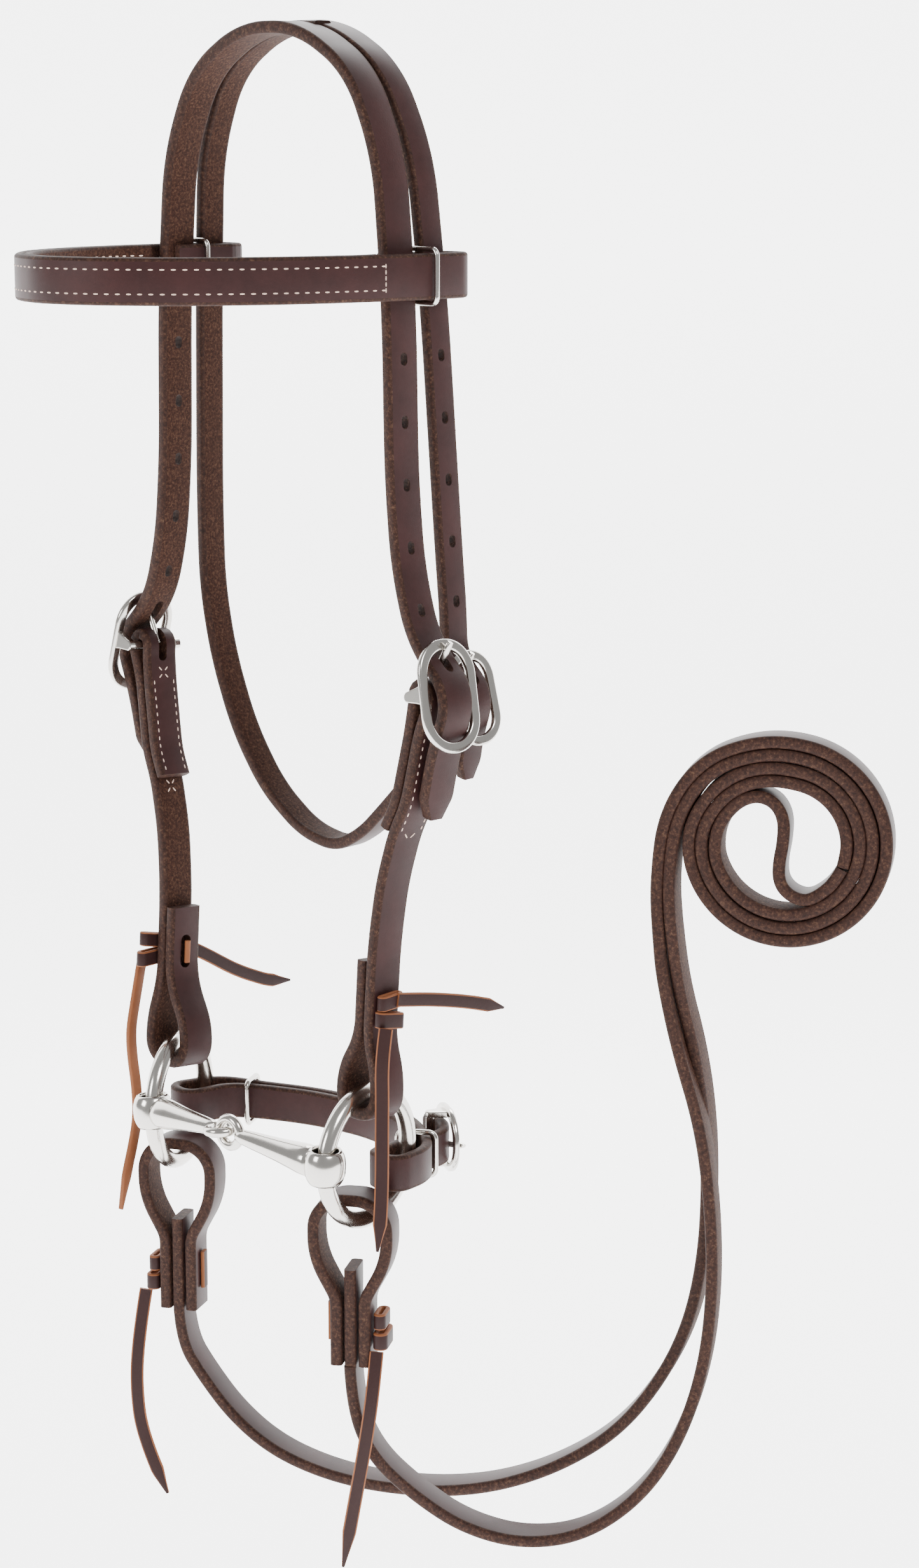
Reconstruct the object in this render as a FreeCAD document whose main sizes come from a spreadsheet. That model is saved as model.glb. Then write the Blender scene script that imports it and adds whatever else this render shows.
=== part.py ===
import FreeCAD, Part
import math
import os
from FreeCAD import Vector, Placement, Rotation

# Snaffle bridle, shown as it hangs with its head piece held open.
# Millimetres. Origin: the underside of the crown where it rests on the poll.
# +X is the horse's near (left) side, -Y its front, +Z up.

os.makedirs("parts", exist_ok=True)
doc = FreeCAD.newDocument("snaffle_bridle")

# ---------------------------------------------------------------- driving sizes
SIZES = [
    ("strap_width", 16.0),
    ("strap_thick", 5.2),
    ("throat_width", 12.7),
    ("brow_height", 18.6),
    ("brow_thick", 3.2),
    ("curb_height", 16.0),
    ("curb_thick", 4.4),
    ("ring_radius", 28.0),
    ("ring_wire", 3.75),
    ("plate_thick", 2.6),
    ("bar_radius", 2.0),
    ("rein_tube", 3.0),
    ("coil_radius", 46.0),
    ("coil_width", 16.0),
    ("lace_width", 6.0),
]
sheet = doc.addObject("Spreadsheet::Sheet", "Sizes")
size = {}
for row, (alias, value) in enumerate(SIZES, start=1):
    sheet.set("A%d" % row, alias)
    sheet.set("B%d" % row, "%g" % value)
    sheet.setAlias("B%d" % row, alias)
    size[alias] = value
doc.recompute()

WIDE = size["strap_width"]
THICK = size["strap_thick"]
SPLIT_TILT = 2.41           # the throat strap leans back from the front strap
CHEEK_TILT = -3.75          # the cheeks lean forward to the bit
BAR = (93.2, -266.0)        # cheek buckle bar, X and Z
THROAT_BAR = (80.6, -272.5)
NODES = []


# ------------------------------------------------------------------ small tools
def unit(a, b):
    """Unit direction and length from point a to point b."""
    length = math.hypot(b[0] - a[0], b[1] - a[1])
    return (b[0] - a[0]) / length, (b[1] - a[1]) / length, length


def band_sides(points, thick, radii):
    """Both faces of a band of even thickness along straight runs and tangent arcs."""
    sides = {1: [], -1: []}
    last = {}
    half = thick / 2.0
    first = unit(points[0], points[1])
    for side in (1, -1):
        last[side] = (points[0][0] - first[1] * half * side, points[0][1] + first[0] * half * side)
    for i in range(1, len(points) - 1):
        corner = points[i]
        into = unit(points[i - 1], corner)
        out = unit(corner, points[i + 1])
        cross = into[0] * out[1] - into[1] * out[0]
        turn = math.atan2(cross, into[0] * out[0] + into[1] * out[1])
        bend = 1 if turn > 0 else -1
        tangent = math.tan(abs(turn) / 2.0)
        radius = radii.get(i, 0.45 * min(into[2], out[2]) / tangent)
        back = radius * tangent
        start = (corner[0] - into[0] * back, corner[1] - into[1] * back)
        stop = (corner[0] + out[0] * back, corner[1] + out[1] * back)
        centre = (start[0] - into[1] * radius * bend, start[1] + into[0] * radius * bend)
        middle = unit(centre, corner)
        for side in (1, -1):
            own = radius - half * side * bend
            a = (start[0] - into[1] * half * side, start[1] + into[0] * half * side)
            m = (centre[0] + middle[0] * own, centre[1] + middle[1] * own)
            b = (stop[0] - out[1] * half * side, stop[1] + out[0] * half * side)
            sides[side].append(("line", last[side], a))
            sides[side].append(("arc", a, m, b))
            last[side] = b
    end = unit(points[-2], points[-1])
    for side in (1, -1):
        tip = (points[-1][0] - end[1] * half * side, points[-1][1] + end[0] * half * side)
        sides[side].append(("line", last[side], tip))
    return sides


def edge(piece):
    """One sketch edge from a line or arc made of two or three points."""
    corners = [Vector(p[0], p[1], 0) for p in piece[1:]]
    if piece[0] == "line":
        return Part.LineSegment(*corners)
    return Part.Arc(*corners)


def band_outline(points, thick, radii=None):
    """Closed outline of a band along a route of points."""
    sides = band_sides(points, thick, radii or {})
    left = sides[1]
    right = [(p[0],) + tuple(reversed(p[1:])) for p in reversed(sides[-1])]
    outline = list(left)
    outline.append(("line", left[-1][-1], right[0][1]))
    outline += right
    outline.append(("line", right[-1][-1], left[0][1]))
    return [edge(piece) for piece in outline]


def rounded_box(wide, tall, radius, centre=(0, 0)):
    """Closed rounded rectangle."""
    x, y = wide / 2.0, tall / 2.0
    route = [(x, 0), (x, y), (0, y), (-x, y), (-x, 0), (-x, -y), (0, -y), (x, -y)]
    shapes = []
    here = (x, 0)
    for i in (1, 3, 5, 7):
        corner = route[i]
        into = unit(route[i - 1], corner)
        out = unit(corner, route[(i + 1) % 8])
        a = (corner[0] - into[0] * radius, corner[1] - into[1] * radius)
        b = (corner[0] + out[0] * radius, corner[1] + out[1] * radius)
        mid = (a[0] + out[0] * radius, a[1] + out[1] * radius)
        way = unit(mid, corner)
        m = (mid[0] + way[0] * radius, mid[1] + way[1] * radius)
        shapes.append(("line", here, a))
        shapes.append(("arc", a, m, b))
        here = b
    shapes.append(("line", here, (x, 0)))
    moved = []
    for piece in shapes:
        moved.append((piece[0],) + tuple((p[0] + centre[0], p[1] + centre[1]) for p in piece[1:]))
    return [edge(piece) for piece in moved if piece[0] == "arc" or unit_length(piece) > 1e-6]


def unit_length(piece):
    """Length of a straight piece."""
    return math.hypot(piece[2][0] - piece[1][0], piece[2][1] - piece[1][1])


def circle(radius, centre=(0, 0)):
    """Closed circle."""
    return [Part.Circle(Vector(centre[0], centre[1], 0), Vector(0, 0, 1), radius)]


def new_body(name):
    """An empty body."""
    body = doc.addObject("PartDesign::Body", name)
    body.Label = name
    return body


def sketch(body, name, plane, geometry, offset=0.0):
    """A sketch on one of the body's own planes."""
    drawn = body.newObject("Sketcher::SketchObject", name)
    base = [o for o in body.Origin.OriginFeatures if o.Role == plane][0]
    drawn.AttachmentSupport = (base, [""])
    drawn.MapMode = "FlatFace"
    drawn.AttachmentOffset = Placement(Vector(0, 0, offset), Rotation())
    drawn.addGeometry(geometry, False)
    doc.recompute()
    return drawn


def pad(body, name, plane, geometry, length, offset=0.0, both=True):
    """A pad whose length is a number or a cell of the sheet."""
    drawn = sketch(body, name + "_outline", plane, geometry, offset)
    made = body.newObject("PartDesign::Pad", name)
    made.Profile = drawn
    made.SideType = "Symmetric" if both else "One side"
    bind(made, "Length", length)
    drawn.Visibility = False
    doc.recompute()
    return made


def pocket(body, name, plane, geometry):
    """A pocket cut through everything, both ways."""
    drawn = sketch(body, name + "_outline", plane, geometry)
    made = body.newObject("PartDesign::Pocket", name)
    made.Profile = drawn
    made.SideType = "Symmetric"
    made.Type = "Length"
    made.Length = 400.0
    doc.recompute()
    return made


def bind(thing, prop, value):
    """Bind a property to a sheet cell, or set it when it is a number."""
    if isinstance(value, str):
        thing.setExpression(prop, "Sizes." + value)
    else:
        setattr(thing, prop, value)


def tilt(degrees, point):
    """Turn about the X axis through a point."""
    return Placement(Vector(0, 0, 0), Rotation(Vector(1, 0, 0), degrees), Vector(*point))


def half_turn():
    """Half a turn about the vertical axis: near side to far side."""
    return Placement(Vector(0, 0, 0), Rotation(Vector(0, 0, 1), 180))


def keep(thing, name):
    """List a finished sub-part."""
    thing.Label = name
    NODES.append(thing)
    return thing


def fuse(parts, name):
    """Fuse finished solids into one sub-part."""
    made = doc.addObject("Part::MultiFuse", name)
    made.Shapes = parts
    doc.recompute()
    return made


def mirror_route(points):
    """The same route on the far side."""
    return [(-x, z) for x, z in points]


# ------------------------------------------------------------- split headpiece
# X and Z of the strap's middle, from the crown down to the billet tip
CROWN = [(18, 2.6), (50.5, -15), (67.5, -50), (73, -108), (74.4, -178)]
BILLET = [(78, -214), (87.1, -243.8), (109.5, -264), (99.7, -288), (92.6, -317)]
HOLES = [-130.0, -155.5, -181.0, -206.5, -231.5]
HOLE_LONG = 5.4
HOLE_WIDE = 3.4
TONGUE_HOLE = -252.5


def front_crown():
    """Front half of the split crown, with a cheek billet on each side."""
    body = new_body("front_crown")
    near = CROWN + BILLET
    route = mirror_route(list(reversed(near))) + near
    pad(body, "crown_band", "XZ_Plane", band_outline(route, THICK), "strap_width")
    holes = []
    for z in HOLES:
        holes += rounded_box(HOLE_WIDE, HOLE_LONG, HOLE_WIDE / 2.0 - 0.01, (0, z))
    holes += rounded_box(4.8, 15.0, 2.39, (0.9, TONGUE_HOLE))
    pocket(body, "billet_holes", "YZ_Plane", holes)
    return body


THROAT_BILLET = [(77, -206), (78.6, -236), (78.4, -255.2), (94.2, -269.5), (86.2, -290), (83, -306)]
THROAT_RUN = [(79.4, -200), (80.6, -240), (75, -272), (62.5, -304), (44, -329), (18, -345.5),
              (-6, -349), (-32, -329), (-52, -311)]


def rear_crown():
    """Rear half of the split crown: near billet, and the far strap that runs under the throat."""
    body = new_body("rear_crown")
    far = mirror_route(THROAT_RUN)
    rise = [(63.5, -299), (79.5, -287.5), (85.4, -275)]
    near_side = [(x, z) for x, z in CROWN[:4] + THROAT_BILLET]
    upper = list(reversed(near_side)) + mirror_route(CROWN[:4]) + far[:6]
    lower = far[5:] + rise
    pad(body, "throat_upper", "XZ_Plane", band_outline(upper, THICK), "throat_width")
    pad(body, "throat_lower", "XZ_Plane", band_outline(lower, THICK), "throat_width")
    # folded round the throat buckle's bar
    bx, bz = THROAT_BAR
    fold = [(81.0, -288.0), (bx + 4.8, bz - 2.0), (bx + 4.8, bz + 4.8), (bx - 4.8, bz + 4.8),
            (bx - 4.8, bz - 5.0), (67.5, -289.0), (52.5, -301.5)]
    pad(body, "throat_fold", "XZ_Plane", band_outline(fold, THICK, {1: 9.0, 2: 4.8, 3: 4.79, 4: 8.0}),
        "throat_width")
    holes = []
    for z in HOLES:
        holes += rounded_box(HOLE_WIDE, HOLE_LONG, HOLE_WIDE / 2.0 - 0.01, (0, z))
    holes += rounded_box(4.2, 14.0, 2.09, (0, -259.3))
    drawn = sketch(body, "throat_holes_outline", "YZ_Plane", holes)
    cut = body.newObject("PartDesign::Pocket", "throat_holes")
    cut.Profile = drawn
    cut.SideType = "One side"
    cut.Type = "Length"
    cut.Length = 200.0
    doc.recompute()
    if cut.Shape.BoundBox.XMin > -200 and near_hole_missing(cut.Shape):
        cut.Reversed = True
        doc.recompute()
    tongue_slot = rounded_box(4.2, 14.0, 2.09, (0, bz + 2.0))
    slot = sketch(body, "fold_slot_outline", "YZ_Plane", tongue_slot)
    cut = body.newObject("PartDesign::Pocket", "fold_slot")
    cut.Profile = slot
    cut.Reversed = True
    cut.Length = 200.0
    doc.recompute()
    body.Placement = tilt(SPLIT_TILT, (0, 0, 0)).multiply(Placement(Vector(0, 14.65, 0), Rotation()))
    return body


def near_hole_missing(shape):
    """True when the first hole was cut on the far strap instead of the near billet."""
    return shape.isInside(Vector(73.5, 0, HOLES[0]), 0.01, True)


def headpiece():
    """Split crown, one piece of leather: two straps joined over the poll."""
    bridge = doc.addObject("Part::Box", "crown_bridge")
    bridge.Length = 30.0
    bridge.Width = 13.0
    bind(bridge, "Height", "strap_thick")
    bridge.Placement = Placement(Vector(-15.0, 4.0, 0.0), Rotation())
    keep(fuse([front_crown(), rear_crown(), bridge], "headpiece"), "headpiece")


# ------------------------------------------------------------------- buckles
def buckle(name, outer, rim, bar_at, lug, bar_half):
    """Raised-bar buckle: oval plate, two tapered lugs and a bar standing behind it.
    Sketch X runs along the bar, sketch Y up the plate, and the pad out from it."""
    body = new_body(name)
    wide, tall = outer
    ring = rounded_box(wide, tall, wide / 2.0 - 2.5)
    ring += rounded_box(wide - 2 * rim, tall - 2 * rim, wide / 2.0 - rim - 1.5)
    pad(body, name + "_plate", "XY_Plane", ring, "plate_thick")
    along, back = bar_at
    root = size["plate_thick"] / 2.0
    for side in (1, -1):
        arm = [("line", (along - 4.2, -root), (along + 4.2, -root)),
               ("line", (along + 4.2, -root), (along + 2.2, back)),
               ("arc", (along + 2.2, back), (along, back - 2.2), (along - 2.2, back)),
               ("line", (along - 2.2, back), (along - 4.2, -root))]
        pad(body, "%s_lug_%s" % (name, "a" if side > 0 else "b"), "YZ_Plane",
            [edge(piece) for piece in arm], lug[1] - lug[0], side * (lug[0] + lug[1]) / 2.0)
    pad(body, name + "_bar", "YZ_Plane", circle(size["bar_radius"], (along, back)), 2 * bar_half)
    return body


def plate_turn(lean):
    """Turns the buckle's own axes to the near side: bar along Y, plate up and facing out."""
    up = Vector(-math.sin(lean), 0, math.cos(lean))
    out = Vector(math.cos(lean), 0, math.sin(lean))
    along = Vector(0, 1, 0)
    return Rotation(along, up, out, "XYZ")


LEAN = math.radians(13.0)
PLATE = (102.4, -265.0)     # cheek buckle plate centre, X and Z
THROAT_PLATE = (89.4, -271.3)


def from_plate(plate, bar, lean):
    """Place of the bar measured in the plate's own axes."""
    dx, dz = bar[0] - plate[0], bar[1] - plate[1]
    return (-math.sin(lean) * dx + math.cos(lean) * dz, math.cos(lean) * dx + math.sin(lean) * dz)


def tongue(name, wire, reach, bar_radius):
    """Tongue: an eye round the bar and a tapered prong along +Y of its own axes."""
    body = new_body(name)
    gap = 0.25
    eye = circle(bar_radius + gap + 1.5) + circle(bar_radius + gap)
    pad(body, name + "_eye", "XY_Plane", eye, wire)
    start = bar_radius + gap + 0.9
    prong = [("line", (-wire / 2.0, start), (-wire / 2.0 * 0.8, reach)),
             ("arc", (-wire / 2.0 * 0.8, reach), (0, reach + wire * 0.4), (wire / 2.0 * 0.8, reach)),
             ("line", (wire / 2.0 * 0.8, reach), (wire / 2.0, start)),
             ("line", (wire / 2.0, start), (-wire / 2.0, start))]
    pad(body, name + "_prong", "XY_Plane", [edge(p) for p in prong], wire)
    return body


def tongue_place(bar, tip):
    """Stands the tongue's eye on the bar and aims its prong at the tip."""
    aim = Vector(tip[0] - bar[0], 0, tip[1] - bar[1]).normalize()
    along = Vector(0, 1, 0)
    return Placement(Vector(bar[0], 0, bar[1]), Rotation(aim.cross(along), aim, along, "XYZ"))


def side_place(side):
    """Cheek tilt on the near side; the far side is the same after half a turn."""
    lean = tilt(CHEEK_TILT, (0, 0, BAR[1]))
    return lean if side == "near" else lean.multiply(half_turn())


def cheek_buckles():
    """Buckle and tongue at the top of each cheek."""
    bar_at = from_plate(PLATE, BAR, LEAN)
    for side in ("near", "far"):
        frame = buckle("cheek_buckle_" + side, (31.0, 47.0), 4.6, bar_at, (11.0, 14.5), 12.5)
        frame.Placement = side_place(side).multiply(
            Placement(Vector(PLATE[0], 0, PLATE[1]), plate_turn(LEAN)))
        keep(frame, frame.Label)
        prong = tongue("cheek_tongue_" + side, 3.0, 24.0, size["bar_radius"])
        tip = (101.8, -243.6)
        prong.Placement = side_place(side).multiply(tongue_place(BAR, tip))
        keep(prong, prong.Label)


def throat_buckle():
    """Smaller buckle that closes the throat strap on the near side."""
    bar_at = from_plate(THROAT_PLATE, THROAT_BAR, LEAN)
    place = tilt(SPLIT_TILT, (0, 0, 0)).multiply(Placement(Vector(0, 14.65, 0), Rotation()))
    frame = buckle("throat_buckle", (26.0, 40.0), 4.2, bar_at, (8.8, 11.8), 10.0)
    frame.Placement = place.multiply(
        Placement(Vector(THROAT_PLATE[0], 0, THROAT_PLATE[1]), plate_turn(LEAN)))
    keep(frame, "throat_buckle")
    prong = tongue("throat_tongue", 2.8, 21.0, size["bar_radius"])
    prong.Placement = place.multiply(tongue_place(THROAT_BAR, (89.9, -252.9)))
    keep(prong, "throat_tongue")


# --------------------------------------------------------------------- cheeks
CHEEK_OUTER = [(98.0, -268.5), (92.8, -281), (86.5, -312), (79.9, -325), (73.6, -347),
               (70.4, -374), (70.1, -414), (76.1, -430)]
LOOP_LOW = -447.0
# middle, half width, and how much lower it hangs
LOOPS_AT = {"near": (65.5, 10.6, 0.0), "far": (64.3, 12.1, 4.0)}


def cheek(side):
    """Cheek strap: folded round the buckle bar, and turned up round the ring below."""
    body = new_body("cheek_strap_" + side)
    bx, bz = BAR
    top = bz + 4.8
    middle, half, drop = LOOPS_AT[side]
    low = LOOP_LOW - drop
    over = [(bx - 2.0, top), (bx + 4.8, top)] + CHEEK_OUTER
    over[-1] = (middle + half, -430 - drop)
    over += [(middle + half, low), (middle - 1.0, low)]
    pad(body, "cheek_outer_" + side, "XZ_Plane", band_outline(over, THICK, {1: 4.79, 2: 10.0, 10: 8.9}),
        "strap_width")
    inner = [(74.9, -323), (80.6, -312), (86.8, -282), (bx - 4.8, -270), (bx - 4.8, top), (bx + 1.5, top)]
    pad(body, "cheek_fold_" + side, "XZ_Plane", band_outline(inner, THICK, {3: 20.0, 4: 4.79}),
        "strap_width")
    turned = [(middle + 1.0, low), (middle - half, low), (middle - half, -430 - drop), (64.5, -414),
              (64.5, -381)]
    pad(body, "cheek_turn_" + side, "XZ_Plane", band_outline(turned, THICK, {1: 8.9}), "strap_width")
    slot = rounded_box(4.4, 17.0, 2.19, (0, bz + 1.5))
    pocket(body, "tongue_slot_" + side, "YZ_Plane", slot)
    laces = circle(1.5, (0, -396)) + circle(1.5, (0, -406))
    pocket(body, "lace_holes_" + side, "YZ_Plane", laces)
    body.Placement = side_place(side)
    keep(body, body.Label)


def cheek_lace(side):
    """Lace that ties the turned-up end: two wraps outside, one inside, and two tails."""
    body = new_body("cheek_lace_" + side)
    pad(body, "lace_pins_" + side, "YZ_Plane", circle(1.2, (0, -396)) + circle(1.2, (0, -406)), 17.0,
        67.5)
    pad(body, "lace_inside_" + side, "YZ_Plane", rounded_box(5.0, 14.0, 1.5, (0, -401)), 1.8, 60.4)
    middle = 0.0 if side == "near" else 4.5
    pad(body, "lace_wraps_" + side, "YZ_Plane", rounded_box(15.0, 8.0, 2.5, (middle, -405.5)),
        4.4, 75.4)
    pad(body, "lace_upper_" + side, "YZ_Plane", rounded_box(11.0, 8.6, 2.5, (middle, -397.6)), 3.8, 74.8)
    hanging = [(-5.0, -406), (-6.5, -415), (-7.0, -424)]
    if side == "far":
        hanging = [(8.5, -406), (11.0, -415), (12.3, -424)]
    pad(body, "lace_hanging_" + side, "YZ_Plane", band_outline(hanging, size["lace_width"]), 2.2, 75.4 + 3.0)
    if side == "near":
        rearward = [(4.0, -396.5), (22.0, -398.6), (43.0, -402), (64.0, -407)]
    else:
        rearward = [(2.0, -396.5), (-20.0, -405.5), (-43.5, -417.7), (-63, -424.5), (-75.4, -425.5)]
    pad(body, "lace_rearward_" + side, "YZ_Plane", band_outline(rearward, size["lace_width"]), 2.2, 75.4 + 1.2)
    body.Placement = side_place(side)
    keep(body, body.Label)


# ------------------------------------------------------------------------ bit
RINGS = {"near": ((64.2, -12.0, -466.0), 100.0), "far": ((-64.0, -12.0, -469.0), 117.0)}
HOLE_AT = {"near": (69.1, -39.6, -464.0), "far": (-51.3, -36.9, -467.0)}
JOINT = (9.0, -44.5, -461.0)
EYE_R = 6.0
EYE_WIRE = 2.1


def bit_ring(side):
    """Loose ring."""
    centre, heading = RINGS[side]
    ring = doc.addObject("Part::Torus", "bit_ring_" + side)
    bind(ring, "Radius1", "ring_radius")
    bind(ring, "Radius2", "ring_wire")
    turn = math.radians(heading)
    normal = Vector(-math.sin(turn), math.cos(turn), 0)
    ring.Placement = Placement(Vector(*centre), Rotation(Vector(0, 0, 1), normal))
    doc.recompute()
    keep(ring, "bit_ring_" + side)


def cannon(side):
    """Half of the jointed mouthpiece: a drilled round end, a tapered bar and an eye."""
    hole = Vector(*HOLE_AT[side])
    joint = Vector(*JOINT)
    reach = (joint - hole).Length
    body = new_body("cannon_body_" + side)
    eye_start = reach - EYE_R - EYE_WIRE
    profile = [("line", (6.0, 0), (eye_start, 0)),
               ("line", (eye_start, 0), (eye_start, 2.6)),
               ("line", (eye_start, 2.6), (reach * 0.62, 4.4)),
               ("arc", (reach * 0.62, 4.4), (reach * 0.36, 6.2), (reach * 0.17, 6.9)),
               ("line", (reach * 0.17, 6.9), (6.0, 6.9)),
               ("line", (6.0, 6.9), (6.0, 0))]
    drawn = sketch(body, "cannon_profile_" + side, "XY_Plane", [edge(p) for p in profile])
    turned = body.newObject("PartDesign::Revolution", "cannon_bar_" + side)
    turned.Profile = drawn
    axis = [o for o in body.Origin.OriginFeatures if o.Role == "X_Axis"][0]
    turned.ReferenceAxis = (axis, [""])
    turned.Angle = 360.0
    doc.recompute()
    pad(body, "cannon_end_" + side, "XY_Plane", circle(8.8), 15.0)
    pocket(body, "cannon_hole_" + side, "XY_Plane", circle(5.9))
    flat = 90.0 if side == "near" else 0.0
    eye = doc.addObject("Part::Torus", "cannon_eye_" + side)
    eye.Radius1 = EYE_R
    eye.Radius2 = EYE_WIRE
    eye.Placement = Placement(Vector(reach - 3.0, 0, 0), Rotation(Vector(1, 0, 0), flat))
    whole = fuse([body, eye], "cannon_" + side)
    aim = (joint - hole).normalize()
    across = Vector(0, 0, 1).cross(aim).normalize()
    whole.Placement = Placement(hole, Rotation(aim, across, aim.cross(across), "XYZ"))
    keep(whole, "cannon_" + side)


# ----------------------------------------------------------------- curb strap
CURB_Z = -476.6
CURB_INNER = [(46, 31), (28, 40.2), (0, 44), (-30, 38.5), (-54, 27.5)]
CURB_OUTER = [(49.8, 34.7), (29.5, 45.0), (0, 49.0), (-31.5, 43.3), (-56.5, 31.9)]
CURB_BAR = (40.3, 46.4)
CURB_OUT = (0.454, 0.891)       # out of the strap's face at the buckle
CURB_UP = (0.891, -0.454)       # along the strap, towards the near ring


def curb_point(along, out):
    """Plan place measured from the curb buckle's bar."""
    return (CURB_BAR[0] + CURB_UP[0] * along + CURB_OUT[0] * out,
            CURB_BAR[1] + CURB_UP[1] * along + CURB_OUT[1] * out)


def curb_strap():
    """Curb strap: a flat loop that runs round both rings, doubled behind the jaw."""
    body = new_body("curb_body")
    inner = [(53.1, 3.5), (52.2, 17.0)] + CURB_INNER + [(-66.8, 18.5), (-67.2, 4.5)]
    outer = [(69.2, 6.0), (66.0, 21.5)] + CURB_OUTER + [(-79.8, 23.0), (-84.6, 10.0)]
    near_bend = [(53.0, 5.0), (53.8, -1.0), (69.8, -0.2), (69.1, 8.0)]
    far_bend = [(-67.2, 6.0), (-68.6, -3.6), (-85.4, -1.0), (-84.4, 12.0)]
    thick = size["curb_thick"]
    pad(body, "curb_inner", "XY_Plane", band_outline(inner, thick), "curb_height", CURB_Z)
    pad(body, "curb_outer", "XY_Plane", band_outline(outer, thick), "curb_height", CURB_Z)
    pad(body, "curb_near_bend", "XY_Plane", band_outline(near_bend, thick, {1: 4.0, 2: 5.0}),
        "curb_height", CURB_Z)
    pad(body, "curb_far_bend", "XY_Plane", band_outline(far_bend, thick, {1: 6.5, 2: 6.5}),
        "curb_height", CURB_Z)
    billet = [curb_point(*at) for at in ((18, -4.6), (12, 3.0), (0, 6.4), (-12.5, 3.3), (-20, 4.2))]
    pad(body, "curb_billet", "XY_Plane", band_outline(billet, thick), "curb_height", CURB_Z)
    slot = doc.addObject("Part::Box", "curb_tongue_slot")
    slot.Length = 15.0
    slot.Width = 7.4
    slot.Height = 3.8
    turn = Rotation(Vector(0, 0, 1), math.degrees(math.atan2(CURB_UP[1], CURB_UP[0])))
    corner = curb_point(-2.8, 2.2)
    slot.Placement = Placement(Vector(corner[0], corner[1], CURB_Z - 1.9), turn)
    cut = doc.addObject("Part::Cut", "curb_strap")
    cut.Base = body
    cut.Tool = slot
    doc.recompute()
    keep(cut, "curb_strap")


def keeper(name, wire, inner_wide, inner_tall, place):
    """Wire keeper: a rounded rectangle of round wire."""
    route = []
    half_wide = (inner_wide + wire) / 2.0
    half_tall = (inner_tall + wire) / 2.0
    path_edges = rounded_box(2 * half_wide, 2 * half_tall, wire * 1.3)
    path = Part.Wire([e.toShape() for e in path_edges])
    start = path.Edges[0].Vertexes[0].Point
    round_wire = Part.Wire([Part.Circle(start, Vector(0, 1, 0), wire / 2.0).toShape()])
    solid = Part.Wire(path).makePipeShell([round_wire], True, True)
    made = doc.addObject("Part::Feature", name)
    made.Shape = solid
    made.Placement = place
    route.append(made)
    keep(made, name)
    return made


def curb_fittings():
    """Two wire keepers and the buckle of the curb strap."""
    keepers = (("curb_keeper_near", (52.4, 27.1), 36.9, 14.6), ("curb_keeper_far", (-59.7, 27.0), 122.0, 13.4))
    for name, at, heading, inner_wide in keepers:
        turn = math.radians(heading)
        across = Vector(math.cos(turn), math.sin(turn), 0)
        up = Vector(0, 0, 1)
        keeper(name, 2.4, inner_wide, 17.2, Placement(Vector(at[0], at[1], CURB_Z),
                                                      Rotation(across, up, across.cross(up), "XYZ")))
    out = Vector(CURB_OUT[0], CURB_OUT[1], 0)
    up = Vector(CURB_UP[0], CURB_UP[1], 0)
    along = up.cross(out)
    bar = Vector(CURB_BAR[0], CURB_BAR[1], CURB_Z)
    frame = buckle("curb_buckle", (29.0, 34.0), 4.0, (0.0, -7.6), (9.8, 12.6), 11.0)
    frame.Placement = Placement(bar + out * 7.6, Rotation(along, up, out, "XYZ"))
    keep(frame, "curb_buckle")
    prong = tongue("curb_tongue", 2.8, 17.5, size["bar_radius"])
    aim = (up * 15.6 + out * 12.8).normalize()
    prong.Placement = Placement(bar, Rotation(aim.cross(along), aim, along, "XYZ"))
    keep(prong, "curb_tongue")


# -------------------------------------------------------------------- browband
BROW_Z = -97.0


def browband():
    """Browband of two layers; each end loops round both straps of the crown."""
    strap = new_body("browband_strap")
    thick = size["brow_thick"]
    outer = [(80.2, 29.0), (81.6, 8.0), (80.0, -24.0), (72.5, -60.0), (54.0, -94.0), (26.0, -117.0)]
    middle = [(0.0, -124.2)]
    route = outer + middle + list(reversed(mirror_route(outer)))
    pad(strap, "brow_outer", "XY_Plane", band_outline(route, thick), "brow_height", BROW_Z)
    for sign in (1, -1):
        back = [(sign * 80.6, 24.5), (sign * 79.2, 32.6), (sign * 64.0, 32.6), (sign * 65.2, 22.0),
                (sign * 66.0, -5.0)]
        name = "near" if sign > 0 else "far"
        pad(strap, "brow_fold_" + name, "XY_Plane", band_outline(back, thick, {1: 6.0, 2: 6.0}),
            "brow_height", BROW_Z)
    keep(strap, "browband_strap")
    lining = new_body("browband_lining")
    inner = [(73.6, -13.0), (75.8, -27.0), (68.9, -59.0), (51.2, -91.3), (24.8, -113.5)]
    route = inner + [(0.0, -120.4)] + list(reversed(mirror_route(inner)))
    pad(lining, "brow_inner", "XY_Plane", band_outline(route, thick), "brow_height", BROW_Z)
    keep(lining, "browband_lining")


# ------------------------------------------------------------------ rein ends
LOOPS = {"near": {"foot": (65.0, -16.5), "heading": 35.0, "middle": -3.2, "top": -483.4, "low": -557.0,
                  "knot": 1},
         "far": {"foot": (-64.0, -12.0), "heading": 30.0, "middle": 0.6, "top": -488.8, "low": -567.0,
                 "knot": -1}}


def loop_place(side):
    """Vertical plane through the bottom of the ring."""
    loop = LOOPS[side]
    return Placement(Vector(loop["foot"][0], loop["foot"][1], 0),
                     Rotation(Vector(0, 0, 1), loop["heading"]))


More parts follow.
